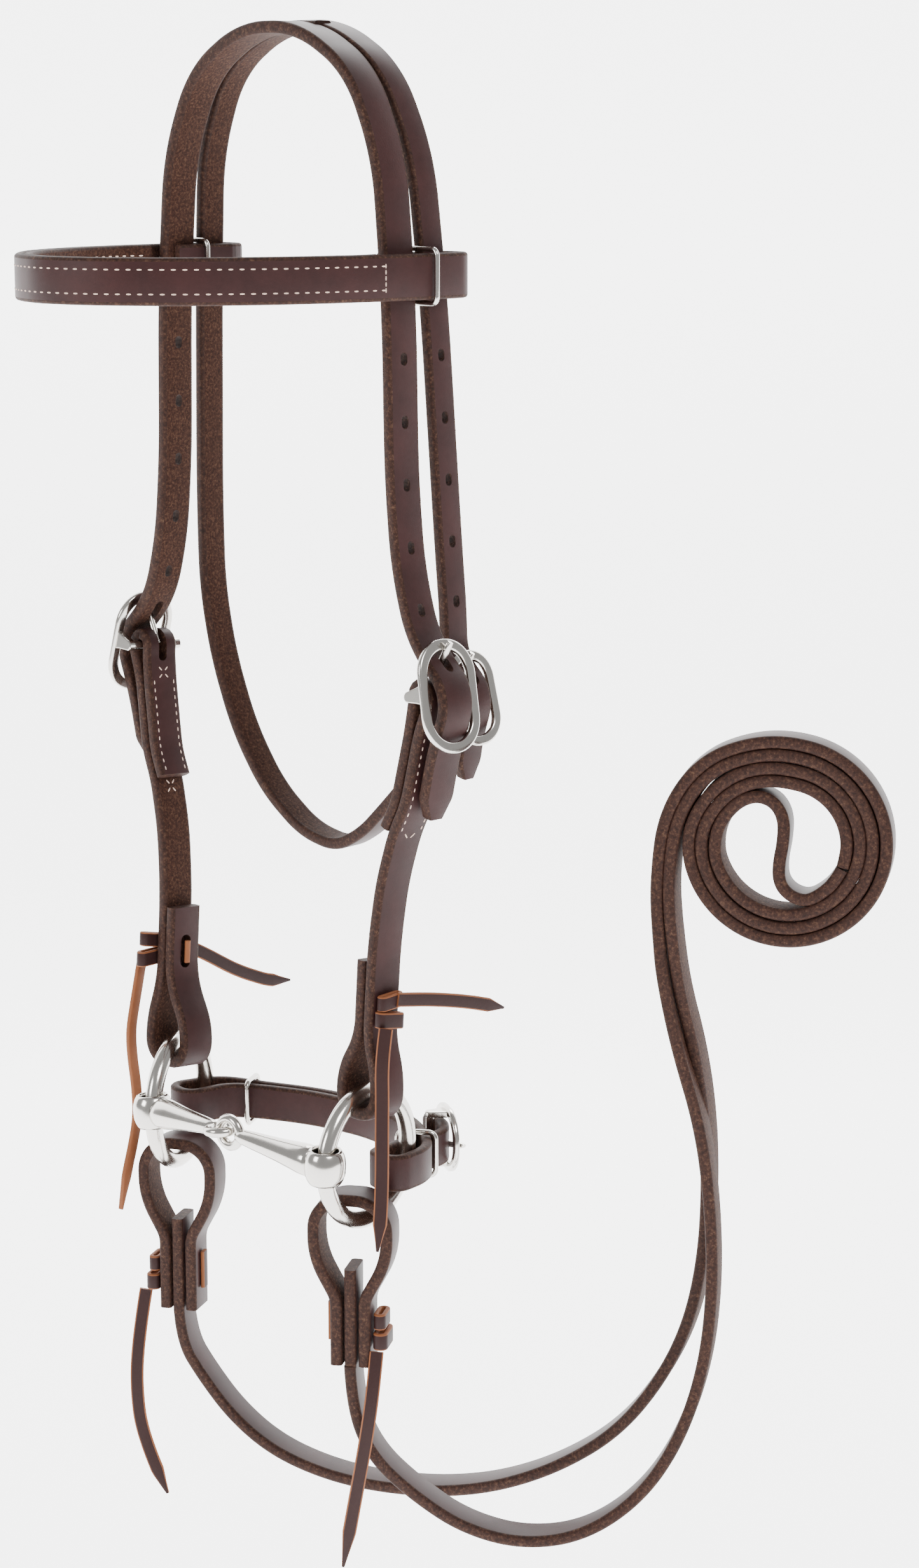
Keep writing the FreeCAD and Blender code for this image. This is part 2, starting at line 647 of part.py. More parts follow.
def rein_loop(side):
    """Strap loop that hangs in the ring, with the rein's end laced between its legs."""
    loop = LOOPS[side]
    mid, top, low = loop["middle"], loop["top"], loop["low"]
    right = [(mid, top), (mid + 16.0, top), (mid + 16.0, top - 26.0), (mid + 6.2, top - 44.0),
             (mid + 6.2, low)]
    left = [(2 * mid - x, z) for x, z in reversed(right)]
    route = left[:-1] + right[1:]
    body = new_body("rein_loop_" + side)
    pad(body, "rein_loop_band_" + side, "XZ_Plane", band_outline(route, THICK, {1: 14.0, 3: 13.5, 4: 13.5, 6: 14.0}),
        "strap_width")
    holes = circle(1.5, (0, low + 12.0)) + circle(1.5, (0, low + 24.0))
    pocket(body, "rein_loop_holes_" + side, "YZ_Plane", holes)
    body.Placement = loop_place(side)
    keep(body, body.Label)
    end = new_body("rein_end_" + side)
    pad(end, "rein_end_strap_" + side, "XZ_Plane",
        band_outline([(mid, low + 43.0), (mid, low)], THICK), "strap_width")
    pocket(end, "rein_end_holes_" + side, "YZ_Plane", holes_again(low))
    end.Placement = loop_place(side)
    keep(end, end.Label)
    lace = new_body("rein_lace_" + side)
    out = loop["knot"]
    face = mid + out * 9.3
    pad(lace, "rein_lace_pins_" + side, "YZ_Plane",
        circle(1.2, (0, low + 12.0)) + circle(1.2, (0, low + 24.0)), 21.0, mid)
    pad(lace, "rein_lace_back_" + side, "YZ_Plane", rounded_box(5.0, 17.0, 1.5, (0, low + 18.0)), 1.8,
        mid - out * 10.0)
    pad(lace, "rein_lace_knot_" + side, "YZ_Plane", rounded_box(14.0, 18.0, 4.0, (0, low + 16.0)), 6.8,
        face + out * 3.4)
    lace.Placement = loop_place(side)
    keep(lace, lace.Label)


def holes_again(low):
    """Lace holes through the rein's own end."""
    return circle(1.5, (0, low + 12.0)) + circle(1.5, (0, low + 24.0))


# ---------------------------------------------------------------------- cords
REIN_ROUTES = {
    "near": [(62.4, -18.8, -557.0), (62.8, -18.0, -577.0), (67.6, -11.0, -599.0), (78.0, 3.5, -617.5),
             (93.5, 18.0, -632.0), (112.0, 36.0, -639.0), (133.0, 53.0, -633.5), (151.0, 69.0, -615.0),
             (163.5, 79.5, -588.0), (171.0, 86.0, -555.0), (174.0, 87.5, -519.0), (172.8, 86.5, -483.0),
             (169.5, 83.0, -448.0), (162.0, 76.0, -414.0), (157.3, 71.6, -384.0), (158.6, 72.7, -356.0),
             (162.0, 75.2, -336.0)],
    "far": [(-63.5, -11.7, -567.0), (-63.0, -11.0, -583.0), (-56.0, -5.0, -599.0), (-44.0, 2.5, -617.0),
            (-27.0, 11.5, -631.0), (-5.0, 23.0, -639.0), (19.0, 36.0, -642.0), (46.0, 50.0, -640.0),
            (71.0, 63.0, -633.0), (96.0, 76.0, -619.5), (119.0, 88.0, -600.0), (137.0, 96.0, -573.0),
            (149.0, 100.5, -545.0), (156.0, 101.5, -513.0), (159.0, 100.0, -480.0), (161.5, 95.0, -448.0),
            (163.6, 86.0, -417.0), (164.0, 79.0, -389.0), (165.0, 78.0, -366.0), (168.0, 79.6, -350.0)],
}
TAIL_ROUTES = {
    "near": [(75.4, -17.0, -550.0), (76.8, -20.3, -566.0), (74.7, -23.0, -590.0), (70.3, -25.4, -617.0),
             (64.7, -27.5, -648.0)],
    "far": [(-75.4, -24.3, -560.0), (-76.6, -27.8, -580.0), (-76.9, -30.2, -605.0), (-74.5, -28.4, -632.0),
            (-65.2, -21.9, -657.0)],
}

CHEEK_TAIL_ROUTES = {
    "near": [(80.2, -17.7, -424.6), (81.0, -18.1, -436.0), (81.5, -18.8, -449.4), (82.0, -19.3, -463.3),
             (82.5, -20.1, -477.8), (83.0, -21.4, -490.0), (83.0, -23.0, -501.7)],
    "far": [(-80.0, -24.0, -426.2), (-80.3, -26.4, -437.5), (-80.3, -26.1, -449.0), (-80.0, -24.2, -464.0),
            (-80.0, -23.6, -478.0), (-80.2, -26.4, -491.0), (-80.6, -30.3, -505.0),
            (-81.0, -33.6, -521.0)],
}


def cord_path(points, shortest):
    """Straight runs joined by tangent arcs, as large as the two runs allow."""
    rows = []
    here = Vector(*points[0])
    radii = []
    for i in range(1, len(points) - 1):
        a, corner, b = Vector(*points[i - 1]), Vector(*points[i]), Vector(*points[i + 1])
        into, out = corner - a, b - corner
        run = min(into.Length, out.Length)
        into.normalize()
        out.normalize()
        turn = into.getAngle(out)
        back = 0.45 * run
        radius = back / math.tan(turn / 2.0)
        radii.append(round(radius))
        start, stop = corner - into * back, corner + out * back
        inward = (out - into).normalize()
        reach = radius / math.cos(turn / 2.0) - radius
        rows.append(Part.LineSegment(here, start).toShape())
        rows.append(Part.Arc(start, corner + inward * reach, stop).toShape())
        here = stop
    rows.append(Part.LineSegment(here, Vector(*points[-1])).toShape())
    if min(radii) < shortest:
        print("tight bend", min(radii), "mm, at least", shortest)
    print("radii", radii)
    return Part.Wire(rows)


def cord_tube(name, points, radius):
    """Round tube along a cord's route."""
    path = cord_path(points, 6.0 * radius)
    start = Vector(*points[0])
    along = Vector(*points[1]) - start
    section = Part.Wire([Part.Circle(start, along, radius).toShape()])
    tube = path.makePipeShell([section], True, True)
    if tube.Volume < 0:
        tube.reverse()
    wanted = math.pi * radius ** 2 * path.Length
    print("%s length %.0f mm, volume %.4f of its section times length" % (
        name, path.Length, tube.Volume / wanted))
    made = doc.addObject("Part::Feature", name)
    made.Shape = tube
    made.Placement = Placement()
    keep(made, name)


COIL_AT = (199.1, 100.0, -324.9)
COIL_HEADING = 34.0


def reins():
    """Two rein stretches, their coil, and the rein laces' hanging tails."""
    for side in ("near", "far"):
        cord_tube("rein_" + side, REIN_ROUTES[side], size["rein_tube"])
        cord_tube("rein_lace_tail_" + side, TAIL_ROUTES[side], 1.2)
        cord_tube("cheek_lace_tail_" + side, CHEEK_TAIL_ROUTES[side], 1.2)
    coil = doc.addObject("Part::Cylinder", "rein_coil")
    bind(coil, "Radius", "coil_radius")
    bind(coil, "Height", "coil_width")
    turn = math.radians(COIL_HEADING)
    axis = Vector(-math.sin(turn), math.cos(turn), 0)
    half = size["coil_width"] / 2.0
    coil.Placement = Placement(Vector(*COIL_AT) - axis * half, Rotation(Vector(0, 0, 1), axis))
    doc.recompute()
    keep(coil, "rein_coil")


def browband_keepers():
    """Wire keepers that close each browband loop between the two crown straps."""
    for side, sign in (("near", 1), ("far", -1)):
        place = Placement(Vector(sign * 73.6, 10.05, BROW_Z), Rotation(Vector(1, 0, 0), 90))
        keeper("browband_keeper_" + side, 2.2, 20.4, 19.6, place)


def main():
    """Build every sub-part."""
    headpiece()
    browband()
    cheek_buckles()
    throat_buckle()
    for side in ("near", "far"):
        cheek(side)
        cheek_lace(side)
        bit_ring(side)
        cannon(side)
        rein_loop(side)
    curb_strap()
    curb_fittings()
    browband_keepers()
    reins()


main()
doc.recompute()

bad = []
for thing in doc.Objects:
    if "Invalid" in thing.State or "Error" in thing.State:
        bad.append(thing.Label)
for node in NODES:
    if node.Shape.isNull() or not node.Shape.isValid() or len(node.Shape.Solids) != 1:
        bad.append("%s solids %d" % (node.Label, len(node.Shape.Solids)))
if bad:
    raise SystemExit("not sound: " + ", ".join(bad))
for node in NODES:
    node.Shape.exportStep("parts/%s.step" % node.Label)
    box = node.Shape.BoundBox
    print("%-22s %9.0f mm3  X %.1f..%.1f Y %.1f..%.1f Z %.1f..%.1f" % (
        node.Label, node.Shape.Volume, box.XMin, box.XMax, box.YMin, box.YMax, box.ZMin, box.ZMax))
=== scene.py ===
import math
import bmesh
import bpy
from mathutils import Matrix, Vector


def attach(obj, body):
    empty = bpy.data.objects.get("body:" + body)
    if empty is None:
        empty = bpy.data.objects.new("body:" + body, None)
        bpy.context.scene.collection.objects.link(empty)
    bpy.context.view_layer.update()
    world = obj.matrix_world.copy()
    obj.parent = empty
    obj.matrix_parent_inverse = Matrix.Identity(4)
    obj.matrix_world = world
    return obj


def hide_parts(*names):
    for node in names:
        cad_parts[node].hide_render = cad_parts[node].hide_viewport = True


# Snaffle bridle. Shapes are drawn in millimetres and scaled to metres.
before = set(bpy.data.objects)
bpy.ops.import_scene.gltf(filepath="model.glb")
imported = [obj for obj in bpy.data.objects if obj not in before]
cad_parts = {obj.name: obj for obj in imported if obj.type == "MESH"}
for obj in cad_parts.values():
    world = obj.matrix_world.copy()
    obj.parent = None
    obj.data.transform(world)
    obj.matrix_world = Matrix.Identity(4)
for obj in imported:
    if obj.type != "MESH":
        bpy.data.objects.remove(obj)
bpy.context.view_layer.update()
MM = 0.001

STRAP = 16.0
THICK = 5.2
THROAT = 12.7
LACE = 6.0
SPLIT_TILT = 2.41
CHEEK_TILT = -3.75
BAR = (93.2, -266.0)
THROAT_BAR = (80.6, -272.5)
BROW_Z = -97.0
CURB_Z = -476.6
CURB_THICK = 4.4
BROW_HIGH = 18.6
BROW_THICK = 3.2
LACE_THICK = 2.0
LACE_ROUND = 0.6
PLATE_THICK = 2.6
PLATE_LEAN = 13.0
RING_RADIUS = 28.0
RING_WIRE = 7.5
# half thickness of a thread, and its height over the middle of a full strap
THREAD_FAT = 0.42
THREAD_RISE = 2.5
VIEW_HEADING = 47.0
COIL_AT = Vector((199.1, 100.0, -324.9))
COIL_HEADING = math.radians(34.0)


# -------------------------------------------------------------------- camera
def camera():
    """Long lens, seen from the near front quarter and a little above."""
    data = bpy.data.cameras.new("camera")
    data.sensor_fit = "VERTICAL"
    data.sensor_height = 36.0
    data.lens = 75.7
    data.clip_end = 30.0
    made = bpy.data.objects.new("camera", data)
    bpy.context.scene.collection.objects.link(made)
    made.location = (1.07312, -0.89911, -0.03792)
    made.rotation_euler = (math.radians(90.0 - 11.267), 0.0, math.radians(VIEW_HEADING))
    bpy.context.scene.camera = made
    return made


# ----------------------------------------------------------------- materials
def material(name):
    """A new node material, its tree and its shader."""
    made = bpy.data.materials.new(name)
    made.use_nodes = True
    tree = made.node_tree
    return made, tree, tree.nodes["Principled BSDF"]


def noise(tree, scale, detail=4.0, rough=0.6):
    """Noise in the object's own coordinates."""
    place = tree.nodes.new("ShaderNodeTexCoord")
    made = tree.nodes.new("ShaderNodeTexNoise")
    made.inputs["Scale"].default_value = scale
    made.inputs["Detail"].default_value = detail
    made.inputs["Roughness"].default_value = rough
    tree.links.new(place.outputs["Object"], made.inputs["Vector"])
    return made.outputs["Fac"]


def ramp(tree, factor, stops):
    """Colour ramp over a factor."""
    made = tree.nodes.new("ShaderNodeValToRGB")
    while len(made.color_ramp.elements) < len(stops):
        made.color_ramp.elements.new(0.5)
    for element, (at, colour) in zip(made.color_ramp.elements, stops):
        element.position = at
        element.color = (*colour, 1.0)
    tree.links.new(factor, made.inputs["Fac"])
    return made.outputs["Color"]


def bump(tree, shader, height, strength, distance):
    """Fine relief."""
    made = tree.nodes.new("ShaderNodeBump")
    made.inputs["Strength"].default_value = strength
    made.inputs["Distance"].default_value = distance
    tree.links.new(height, made.inputs["Height"])
    tree.links.new(made.outputs["Normal"], shader.inputs["Normal"])


def grain_leather():
    """Smooth, oiled grain side."""
    made, tree, shader = material("grain")
    colour = ramp(tree, noise(tree, 55.0),
                  [(0.3, (0.0210, 0.0068, 0.0066)), (0.7, (0.0330, 0.0105, 0.0100))])
    tree.links.new(colour, shader.inputs["Base Color"])
    shader.inputs["Roughness"].default_value = 0.5
    shader.inputs["Specular IOR Level"].default_value = 0.2
    bump(tree, shader, noise(tree, 1500.0, 3.0), 0.12, 0.0004)
    return made


def flesh_leather():
    """Rougher flesh side, mottled with tan flecks."""
    made, tree, shader = material("flesh")
    colour = ramp(tree, noise(tree, 900.0, 6.0, 0.75),
                  [(0.36, (0.016, 0.0064, 0.0046)), (0.52, (0.037, 0.0150, 0.0098)),
                   (0.68, (0.088, 0.044, 0.026))])
    tree.links.new(colour, shader.inputs["Base Color"])
    shader.inputs["Roughness"].default_value = 0.75
    shader.inputs["Specular IOR Level"].default_value = 0.1
    bump(tree, shader, noise(tree, 1300.0, 5.0), 0.35, 0.0006)
    return made


def cut_edge():
    """Dyed, burnished strap edge."""
    made, tree, shader = material("cut_edge")
    colour = ramp(tree, noise(tree, 700.0, 6.0, 0.7),
                  [(0.36, (0.015, 0.0062, 0.0046)), (0.54, (0.033, 0.0135, 0.0090)),
                   (0.7, (0.078, 0.040, 0.024))])
    tree.links.new(colour, shader.inputs["Base Color"])
    shader.inputs["Roughness"].default_value = 0.65
    shader.inputs["Specular IOR Level"].default_value = 0.15
    bump(tree, shader, noise(tree, 1200.0, 4.0), 0.25, 0.0004)
    return made


def plain(name, colour, rough, metal, grain):
    """One colour, with a little relief."""
    made, tree, shader = material(name)
    shader.inputs["Base Color"].default_value = (*colour, 1.0)
    shader.inputs["Roughness"].default_value = rough
    shader.inputs["Metallic"].default_value = metal
    if not metal:
        shader.inputs["Specular IOR Level"].default_value = 0.18
    bump(tree, shader, noise(tree, 900.0, 3.0), grain, 0.0003)
    return made


GRAIN = grain_leather()
FLESH = flesh_leather()
EDGE = cut_edge()
LACE_FACE = plain("lace_face", (0.022, 0.0075, 0.0068), 0.55, 0.0, 0.2)
LACE_EDGE = plain("lace_edge", (0.20, 0.070, 0.028), 0.65, 0.0, 0.2)
NICKEL = plain("nickel", (0.60, 0.575, 0.54), 0.17, 1.0, 0.02)
LACE_FACES = [LACE_FACE, LACE_EDGE, LACE_EDGE]
THREAD = plain("thread", (0.60, 0.44, 0.36), 0.75, 0.0, 0.3)


# -------------------------------------------------------------------- routes
def unit(a, b):
    """Direction and length from a to b."""
    d = Vector(b) - Vector(a)
    return d.normalized(), d.length


def bends(points, radii=None, step=2.0):
    """Closely spaced points along straight runs joined by tangent arcs, in two dimensions."""
    radii = radii or {}
    out = [Vector(points[0])]

    def straight(end):
        start = out[-1].copy()
        count = max(1, int((end - start).length / step))
        for k in range(1, count + 1):
            out.append(start.lerp(end, k / count))

    for i in range(1, len(points) - 1):
        corner = Vector(points[i])
        into, run_in = unit(points[i - 1], corner)
        away, run_out = unit(corner, points[i + 1])
        turn = math.atan2(into.x * away.y - into.y * away.x, into.dot(away))
        tangent = math.tan(abs(turn) / 2.0)
        radius = radii.get(i, 0.45 * min(run_in, run_out) / tangent)
        start = corner - into * radius * tangent
        straight(start)
        side = 1.0 if turn > 0 else -1.0
        centre = start + Vector((-into.y, into.x)) * radius * side
        arm = start - centre
        count = max(2, int(abs(turn) * radius / step))
        for k in range(1, count + 1):
            out.append(centre + Matrix.Rotation(turn * k / count, 2) @ arm)
    straight(Vector(points[-1]))
    return out


def mirrored(points):
    """The same route on the far side."""
    return [(-x, z) for x, z in points]


def oval(wide, tall, radius, steps=8):
    """Closed rounded rectangle as points."""
    out = []
    for k, (sx, sy) in enumerate(((1, 1), (-1, 1), (-1, -1), (1, -1))):
        centre = Vector((sx * (wide / 2.0 - radius), sy * (tall / 2.0 - radius)))
        for j in range(steps + 1):
            a = math.radians(90.0 * k + 90.0 * j / steps)
            out.append(centre + Vector((math.cos(a), math.sin(a))) * radius)
    return out


# ------------------------------------------------------------------- meshing
def strap_section(width, thick, radius=1.5):
    """Rounded rectangle: points, and for each stretch 0 grain side (+t), 1 flesh side or 2 edge."""
    steps = 3
    w, t = width / 2.0, thick / 2.0
    radius = min(radius, t * 0.9)
    points = []
    slots = []
    corners = (((w - radius), (t - radius), 0), (-(w - radius), (t - radius), 90),
               (-(w - radius), -(t - radius), 180), ((w - radius), -(t - radius), 270))
    flats = (0, 2, 1, 2)
    for k, (cw, ct, angle) in enumerate(corners):
        for j in range(steps + 1):
            a = math.radians(angle + 90.0 * j / steps)
            points.append((cw + radius * math.cos(a), ct + radius * math.sin(a)))
            slots.append(2 if j < steps else flats[k])
    return points, slots


def round_section(radius, steps=14):
    """Circle."""
    points = [(radius * math.cos(2 * math.pi * k / steps), radius * math.sin(2 * math.pi * k / steps))
              for k in range(steps)]
    return points, [0] * steps


def mesh_object(name, mesh, materials, body, nodes):
    """Adds a finished mesh to the scene, on its body."""
    for one in materials:
        mesh.materials.append(one)
    made = bpy.data.objects.new(name, mesh)
    bpy.context.scene.collection.objects.link(made)
    if nodes:
        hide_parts(*nodes)
    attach(made, body)
    return made


def sweep_into(bm, frames, section, closed=False, widths=None):
    """Adds a section swept along frames to a bmesh. A frame is (point, width way, thickness way)."""
    points, slots = section
    rings = []
    for i, (centre, across, out) in enumerate(frames):
        scale = widths[i] if widths else 1.0
        rings.append([bm.verts.new((centre + across * (w * scale) + out * t) * MM) for w, t in points])
    count = len(rings)
    pairs = count if closed else count - 1
    size = len(points)
    for i in range(pairs):
        a, b = rings[i], rings[(i + 1) % count]
        for j in range(size):
            face = bm.faces.new((a[j], a[(j + 1) % size], b[(j + 1) % size], b[j]))
            face.material_index = slots[j]
            face.smooth = True
    if not closed:
        for ring in (rings[0], rings[-1]):
            cap = bm.faces.new(ring)
            cap.material_index = max(slots)
            for edge in cap.edges:
                edge.smooth = False
    return rings


def finish_mesh(bm, name):
    """Closes a bmesh into a mesh."""
    bmesh.ops.recalc_face_normals(bm, faces=bm.faces[:])
    mesh = bpy.data.meshes.new(name)
    bm.to_mesh(mesh)
    bm.free()
    return mesh


def flat_frames(path, place, grain=1.0):
    """Frames for a strap whose route lies in a plane: the plane's third axis is the strap's width.
    The grain side is to the left of the route, or to the right with grain = -1."""
    frames = []
    turn = place.to_3x3()
    across = (turn @ Vector((0, 0, 1))).normalized()
    for i, p in enumerate(path):
        before = path[max(0, i - 1)]
        after = path[min(len(path) - 1, i + 1)]
        way = (after - before).normalized()
        normal = Vector((-way.y, way.x)) * grain
        out = (turn @ Vector((normal.x, normal.y, 0))).normalized()
        frames.append((place @ Vector((p.x, p.y, 0)), across, out))
    return frames


def upright(x=0.0, y=0.0, heading=0.0):
    """Maps a drawing of (along, up) onto a vertical plane through (x, y)."""
    h = math.radians(heading)
    return Matrix(((math.cos(h), 0, -math.sin(h), x), (math.sin(h), 0, math.cos(h), y),
                   (0, 1, 0, 0), (0, 0, 0, 1)))


def level(z):
    """Maps a drawing of (x, y) onto a level plane."""
    return Matrix.Translation((0, 0, z))


def about_x(degrees, z=0.0):
    """Turn about the X axis at a height."""
    turn = Matrix.Rotation(math.radians(degrees), 4, "X")
    return Matrix.Translation((0, 0, z)) @ turn @ Matrix.Translation((0, 0, -z))


def tapers(count, spacing, start=0.0, end=0.0, least=0.4):
    """Width factors that narrow the strap over its first or last stretch."""
    out = []
    for i in range(count):
        from_start = i * spacing
        from_end = (count - 1 - i) * spacing
        scale = 1.0
        if start and from_start < start:
            scale = min(scale, least + (1 - least) * from_start / start)
        if end and from_end < end:
            scale = min(scale, least + (1 - least) * from_end / end)
        out.append(scale)
    return out


def strap(name, runs, width, thick, body, nodes=(), holes=(), tips=None,
          materials=(GRAIN, FLESH, EDGE)):
    """Strap made of one or more swept runs, each a list of frames, with oval holes cut through."""
    bm = bmesh.new()
    for index, frames in enumerate(runs):
        spacing = (frames[1][0] - frames[0][0]).length
        widths = None
        if tips and tips.get(index):
            widths = tapers(len(frames), spacing, *tips[index])
        sweep_into(bm, frames, strap_section(width, thick), widths=widths)
    made = mesh_object(name, finish_mesh(bm, name), materials, body, nodes)
    if holes:
        cutter = hole_cutter(name + "_cut", holes)
        cut = made.modifiers.new("holes", "BOOLEAN")
        cut.operation = "DIFFERENCE"
        cut.solver = "EXACT"
        cut.object = cutter
        bpy.context.view_layer.update()
        graph = bpy.context.evaluated_depsgraph_get()
        mesh = bpy.data.meshes.new_from_object(made.evaluated_get(graph))
        made.modifiers.clear()
        made.data = mesh
        bpy.data.objects.remove(cutter)
    return made


def hole_cutter(name, holes):
    """Oval pegs. A hole is (centre, long way, through way, length, width, depth)."""
    bm = bmesh.new()
    for centre, long_way, through, length, width, depth in holes:
        side = long_way.cross(through).normalized()
        outline = oval(width, length, width / 2.0 - 0.01, 5)
        ends = []
        for t in (-depth, depth):
            ends.append([bm.verts.new((centre + side * p.x + long_way * p.y + through * t) * MM)
                         for p in outline])
        size = len(outline)
        for j in range(size):
            bm.faces.new((ends[0][j], ends[0][(j + 1) % size], ends[1][(j + 1) % size], ends[1][j]))
        bm.faces.new(ends[0])
        bm.faces.new(ends[1])
    mesh = finish_mesh(bm, name)
    mesh.materials.append(EDGE)
    made = bpy.data.objects.new(name, mesh)
    bpy.context.scene.collection.objects.link(made)
    return made


def lengths(frames):
    """Distance of each frame from the first."""
    out = [0.0]
    for a, b in zip(frames, frames[1:]):
        out.append(out[-1] + (b[0] - a[0]).length)
    return out


def frame_at(frames, marks, distance):
    """Frame at a distance along, with the way the route runs there."""
    i = 0
    while i < len(marks) - 2 and marks[i + 1] < distance:
        i += 1
    k = (distance - marks[i]) / max(1e-6, marks[i + 1] - marks[i])
    a, b = frames[i], frames[i + 1]
    return a[0].lerp(b[0], k), a[1].lerp(b[1], k), a[2].lerp(b[2], k), (b[0] - a[0]).normalized()


def stitch_row(bm, frames, offset, rise, start, end, pitch, long):
    """A row of thread stitches along a strap, lying just on one face."""
    marks = lengths(frames)
    distance = start
    while distance < end:
        centre, across, out, way = frame_at(frames, marks, distance)
        stitch(bm, centre + across * offset + out * rise, way, out, long)
        distance += pitch


def stitch(bm, centre, way, out, long):
    """One stitch: a short rounded bar that sinks into the leather at both ends."""
    side = way.cross(out).normalized()
    rings = []
    for u, scale, sink in ((-0.5, 0.35, 1.0), (-0.36, 0.9, 0.35), (0.0, 1.0, 0.0), (0.36, 0.9, 0.35),
                           (0.5, 0.35, 1.0)):
        ring = []
        for k in range(6):
            a = 2 * math.pi * k / 6
            point = centre + way * (u * long) + side * (math.cos(a) * THREAD_FAT * scale)
            point = point + out * (math.sin(a) * scale - sink) * THREAD_FAT * 0.8
            ring.append(bm.verts.new(point * MM))
        rings.append(ring)
    for a, b in zip(rings, rings[1:]):
        for j in range(6):
            bm.faces.new((a[j], a[(j + 1) % 6], b[(j + 1) % 6], b[j])).smooth = True
    bm.faces.new(rings[0])
    bm.faces.new(rings[-1])


def thread_object(name, bm, body):
    """The stitches of one piece."""
    return mesh_object(name, finish_mesh(bm, name), [THREAD], body, ())


# ------------------------------------------------------------------ hardware
def swept(name, frames, section, body, nodes, closed=False, widths=None):
    """One swept piece of metal."""
    bm = bmesh.new()
    sweep_into(bm, frames, section, closed, widths)
    return mesh_object(name, finish_mesh(bm, name), [NICKEL], body, nodes)


def closed_frames(points, place):
    """Frames round a closed flat outline: width lies in the plane, thickness stands out of it."""
    frames = []
    turn = place.to_3x3()
    out = (turn @ Vector((0, 0, 1))).normalized()
    count = len(points)
    for i, p in enumerate(points):
        way = (points[(i + 1) % count] - points[i - 1]).normalized()
        side = (turn @ Vector((way.y, -way.x, 0))).normalized()
        frames.append((place @ Vector((p.x, p.y, 0)), side, out))
    return frames


def rail_section(wide):
    """Section of a buckle's rim."""
    points, _ = strap_section(wide, PLATE_THICK, 0.95)
    return points, [0] * len(points)


def buckle(name, place, outer, rim, bar_at, lug, bar_half, node, body):
    """Raised-bar buckle: oval rim, two tapered lugs and a bar standing behind it."""
    wide, tall = outer
    bm = bmesh.new()
    path = oval(wide - rim, tall - rim, wide / 2.0 - rim / 2.0 - 0.6, 14)
    sweep_into(bm, closed_frames(path, place), rail_section(rim), True)
    along, back = bar_at
    for side in (1, -1):
        middle = side * (lug[0] + lug[1]) / 2.0
        profile = [(along - 4.2, -0.6), (along + 4.2, -0.6), (along + 3.3, -3.6)]
        for k in range(9):
            a = math.radians(-180.0 * k / 8)
            profile.append((along + 2.3 * math.cos(a), back + 2.3 * math.sin(a)))
        profile.append((along - 3.3, -3.6))
        block(bm, place, profile, middle, lug[1] - lug[0])
    made = mesh_object(name, finish_mesh(bm, name), [NICKEL], body, [node])
    soften = made.modifiers.new("soften", "BEVEL")
    soften.width = 0.5 * MM
    soften.segments = 3
    soften.limit_method = "ANGLE"
    soften.angle_limit = math.radians(50.0)
    turn = place.to_3x3()
    up, out = turn @ Vector((0, 1, 0)), turn @ Vector((0, 0, 1))
    bar_frames = []
    for k in range(9):
        x = -bar_half + 2 * bar_half * k / 8
        bar_frames.append((place @ Vector((x, along, back)), up, out))
    swept(name + "_bar", bar_frames, round_section(2.0), body, ())
    return made


def block(bm, place, profile, middle, thick):
    """A flat profile in the (y, z) of a place, given thickness along its x."""
    ends = []
    for x in (middle - thick / 2.0, middle + thick / 2.0):
        ends.append([bm.verts.new((place @ Vector((x, y, z))) * MM) for y, z in profile])
    size = len(profile)
    for j in range(size):
        bm.faces.new((ends[0][j], ends[0][(j + 1) % size], ends[1][(j + 1) % size], ends[1][j]))
    bm.faces.new(ends[0])
    bm.faces.new(ends[1])


def plate_place(x, z, lean, tilt, y=0.0):
    """Place of a buckle's plate: bar along X of its own axes, plate up along Y, facing out along Z."""
    a = math.radians(lean)
    turn = Matrix(((0, -math.sin(a), math.cos(a), x), (1, 0, 0, y),
                   (0, math.cos(a), math.sin(a), z), (0, 0, 0, 1)))
    return tilt @ turn


def tongue(name, bar, tip, along, wire, node, body):
    """Tongue: wire wrapped round the bar and run out to a blunt tip."""
    aim = (tip - bar).normalized()
    side = along.cross(aim).normalized()
    frames = []
    radius = 2.25 + wire / 2.0
    for k in range(21):
        a = math.radians(200.0 - 290.0 * k / 20)
        way = aim * math.cos(a) + side * math.sin(a)
        frames.append((bar + way * radius, along, way))
    start = frames[-1][0]
    reach = tip - start
    for k in range(1, 13):
        frames.append((start + reach * (k / 12), along, frames[20][2].lerp(side * -1, min(1.0, k / 4))))
    widths = [1.0] * len(frames)
    widths[-1] = 0.55
    widths[-2] = 0.92
    return swept(name, frames, round_section(wire / 2.0, 12), body, [node], widths=widths)


def wire_loop(name, place, wide, tall, wire, node, body):
    """Wire keeper: a rounded rectangle of round wire."""
    path = oval(wide + wire, tall + wire, wire * 1.3, 6)
    return swept(name, closed_frames(path, place), round_section(wire / 2.0, 12), body, [node], True)


def ring(side, centre, heading):
    """Loose bit ring."""
    h = math.radians(heading)
    along = Vector((math.cos(h), math.sin(h), 0))
    normal = Vector((-math.sin(h), math.cos(h), 0))
    frames = []
    for k in range(96):
        a = 2 * math.pi * k / 96
        out = along * math.cos(a) + Vector((0, 0, 1)) * math.sin(a)
        frames.append((Vector(centre) + out * RING_RADIUS, out, normal))
    return swept("ring_" + side, frames, round_section(RING_WIRE / 2.0, 24), "ring_" + side,
                 ["bit_ring_" + side], True)


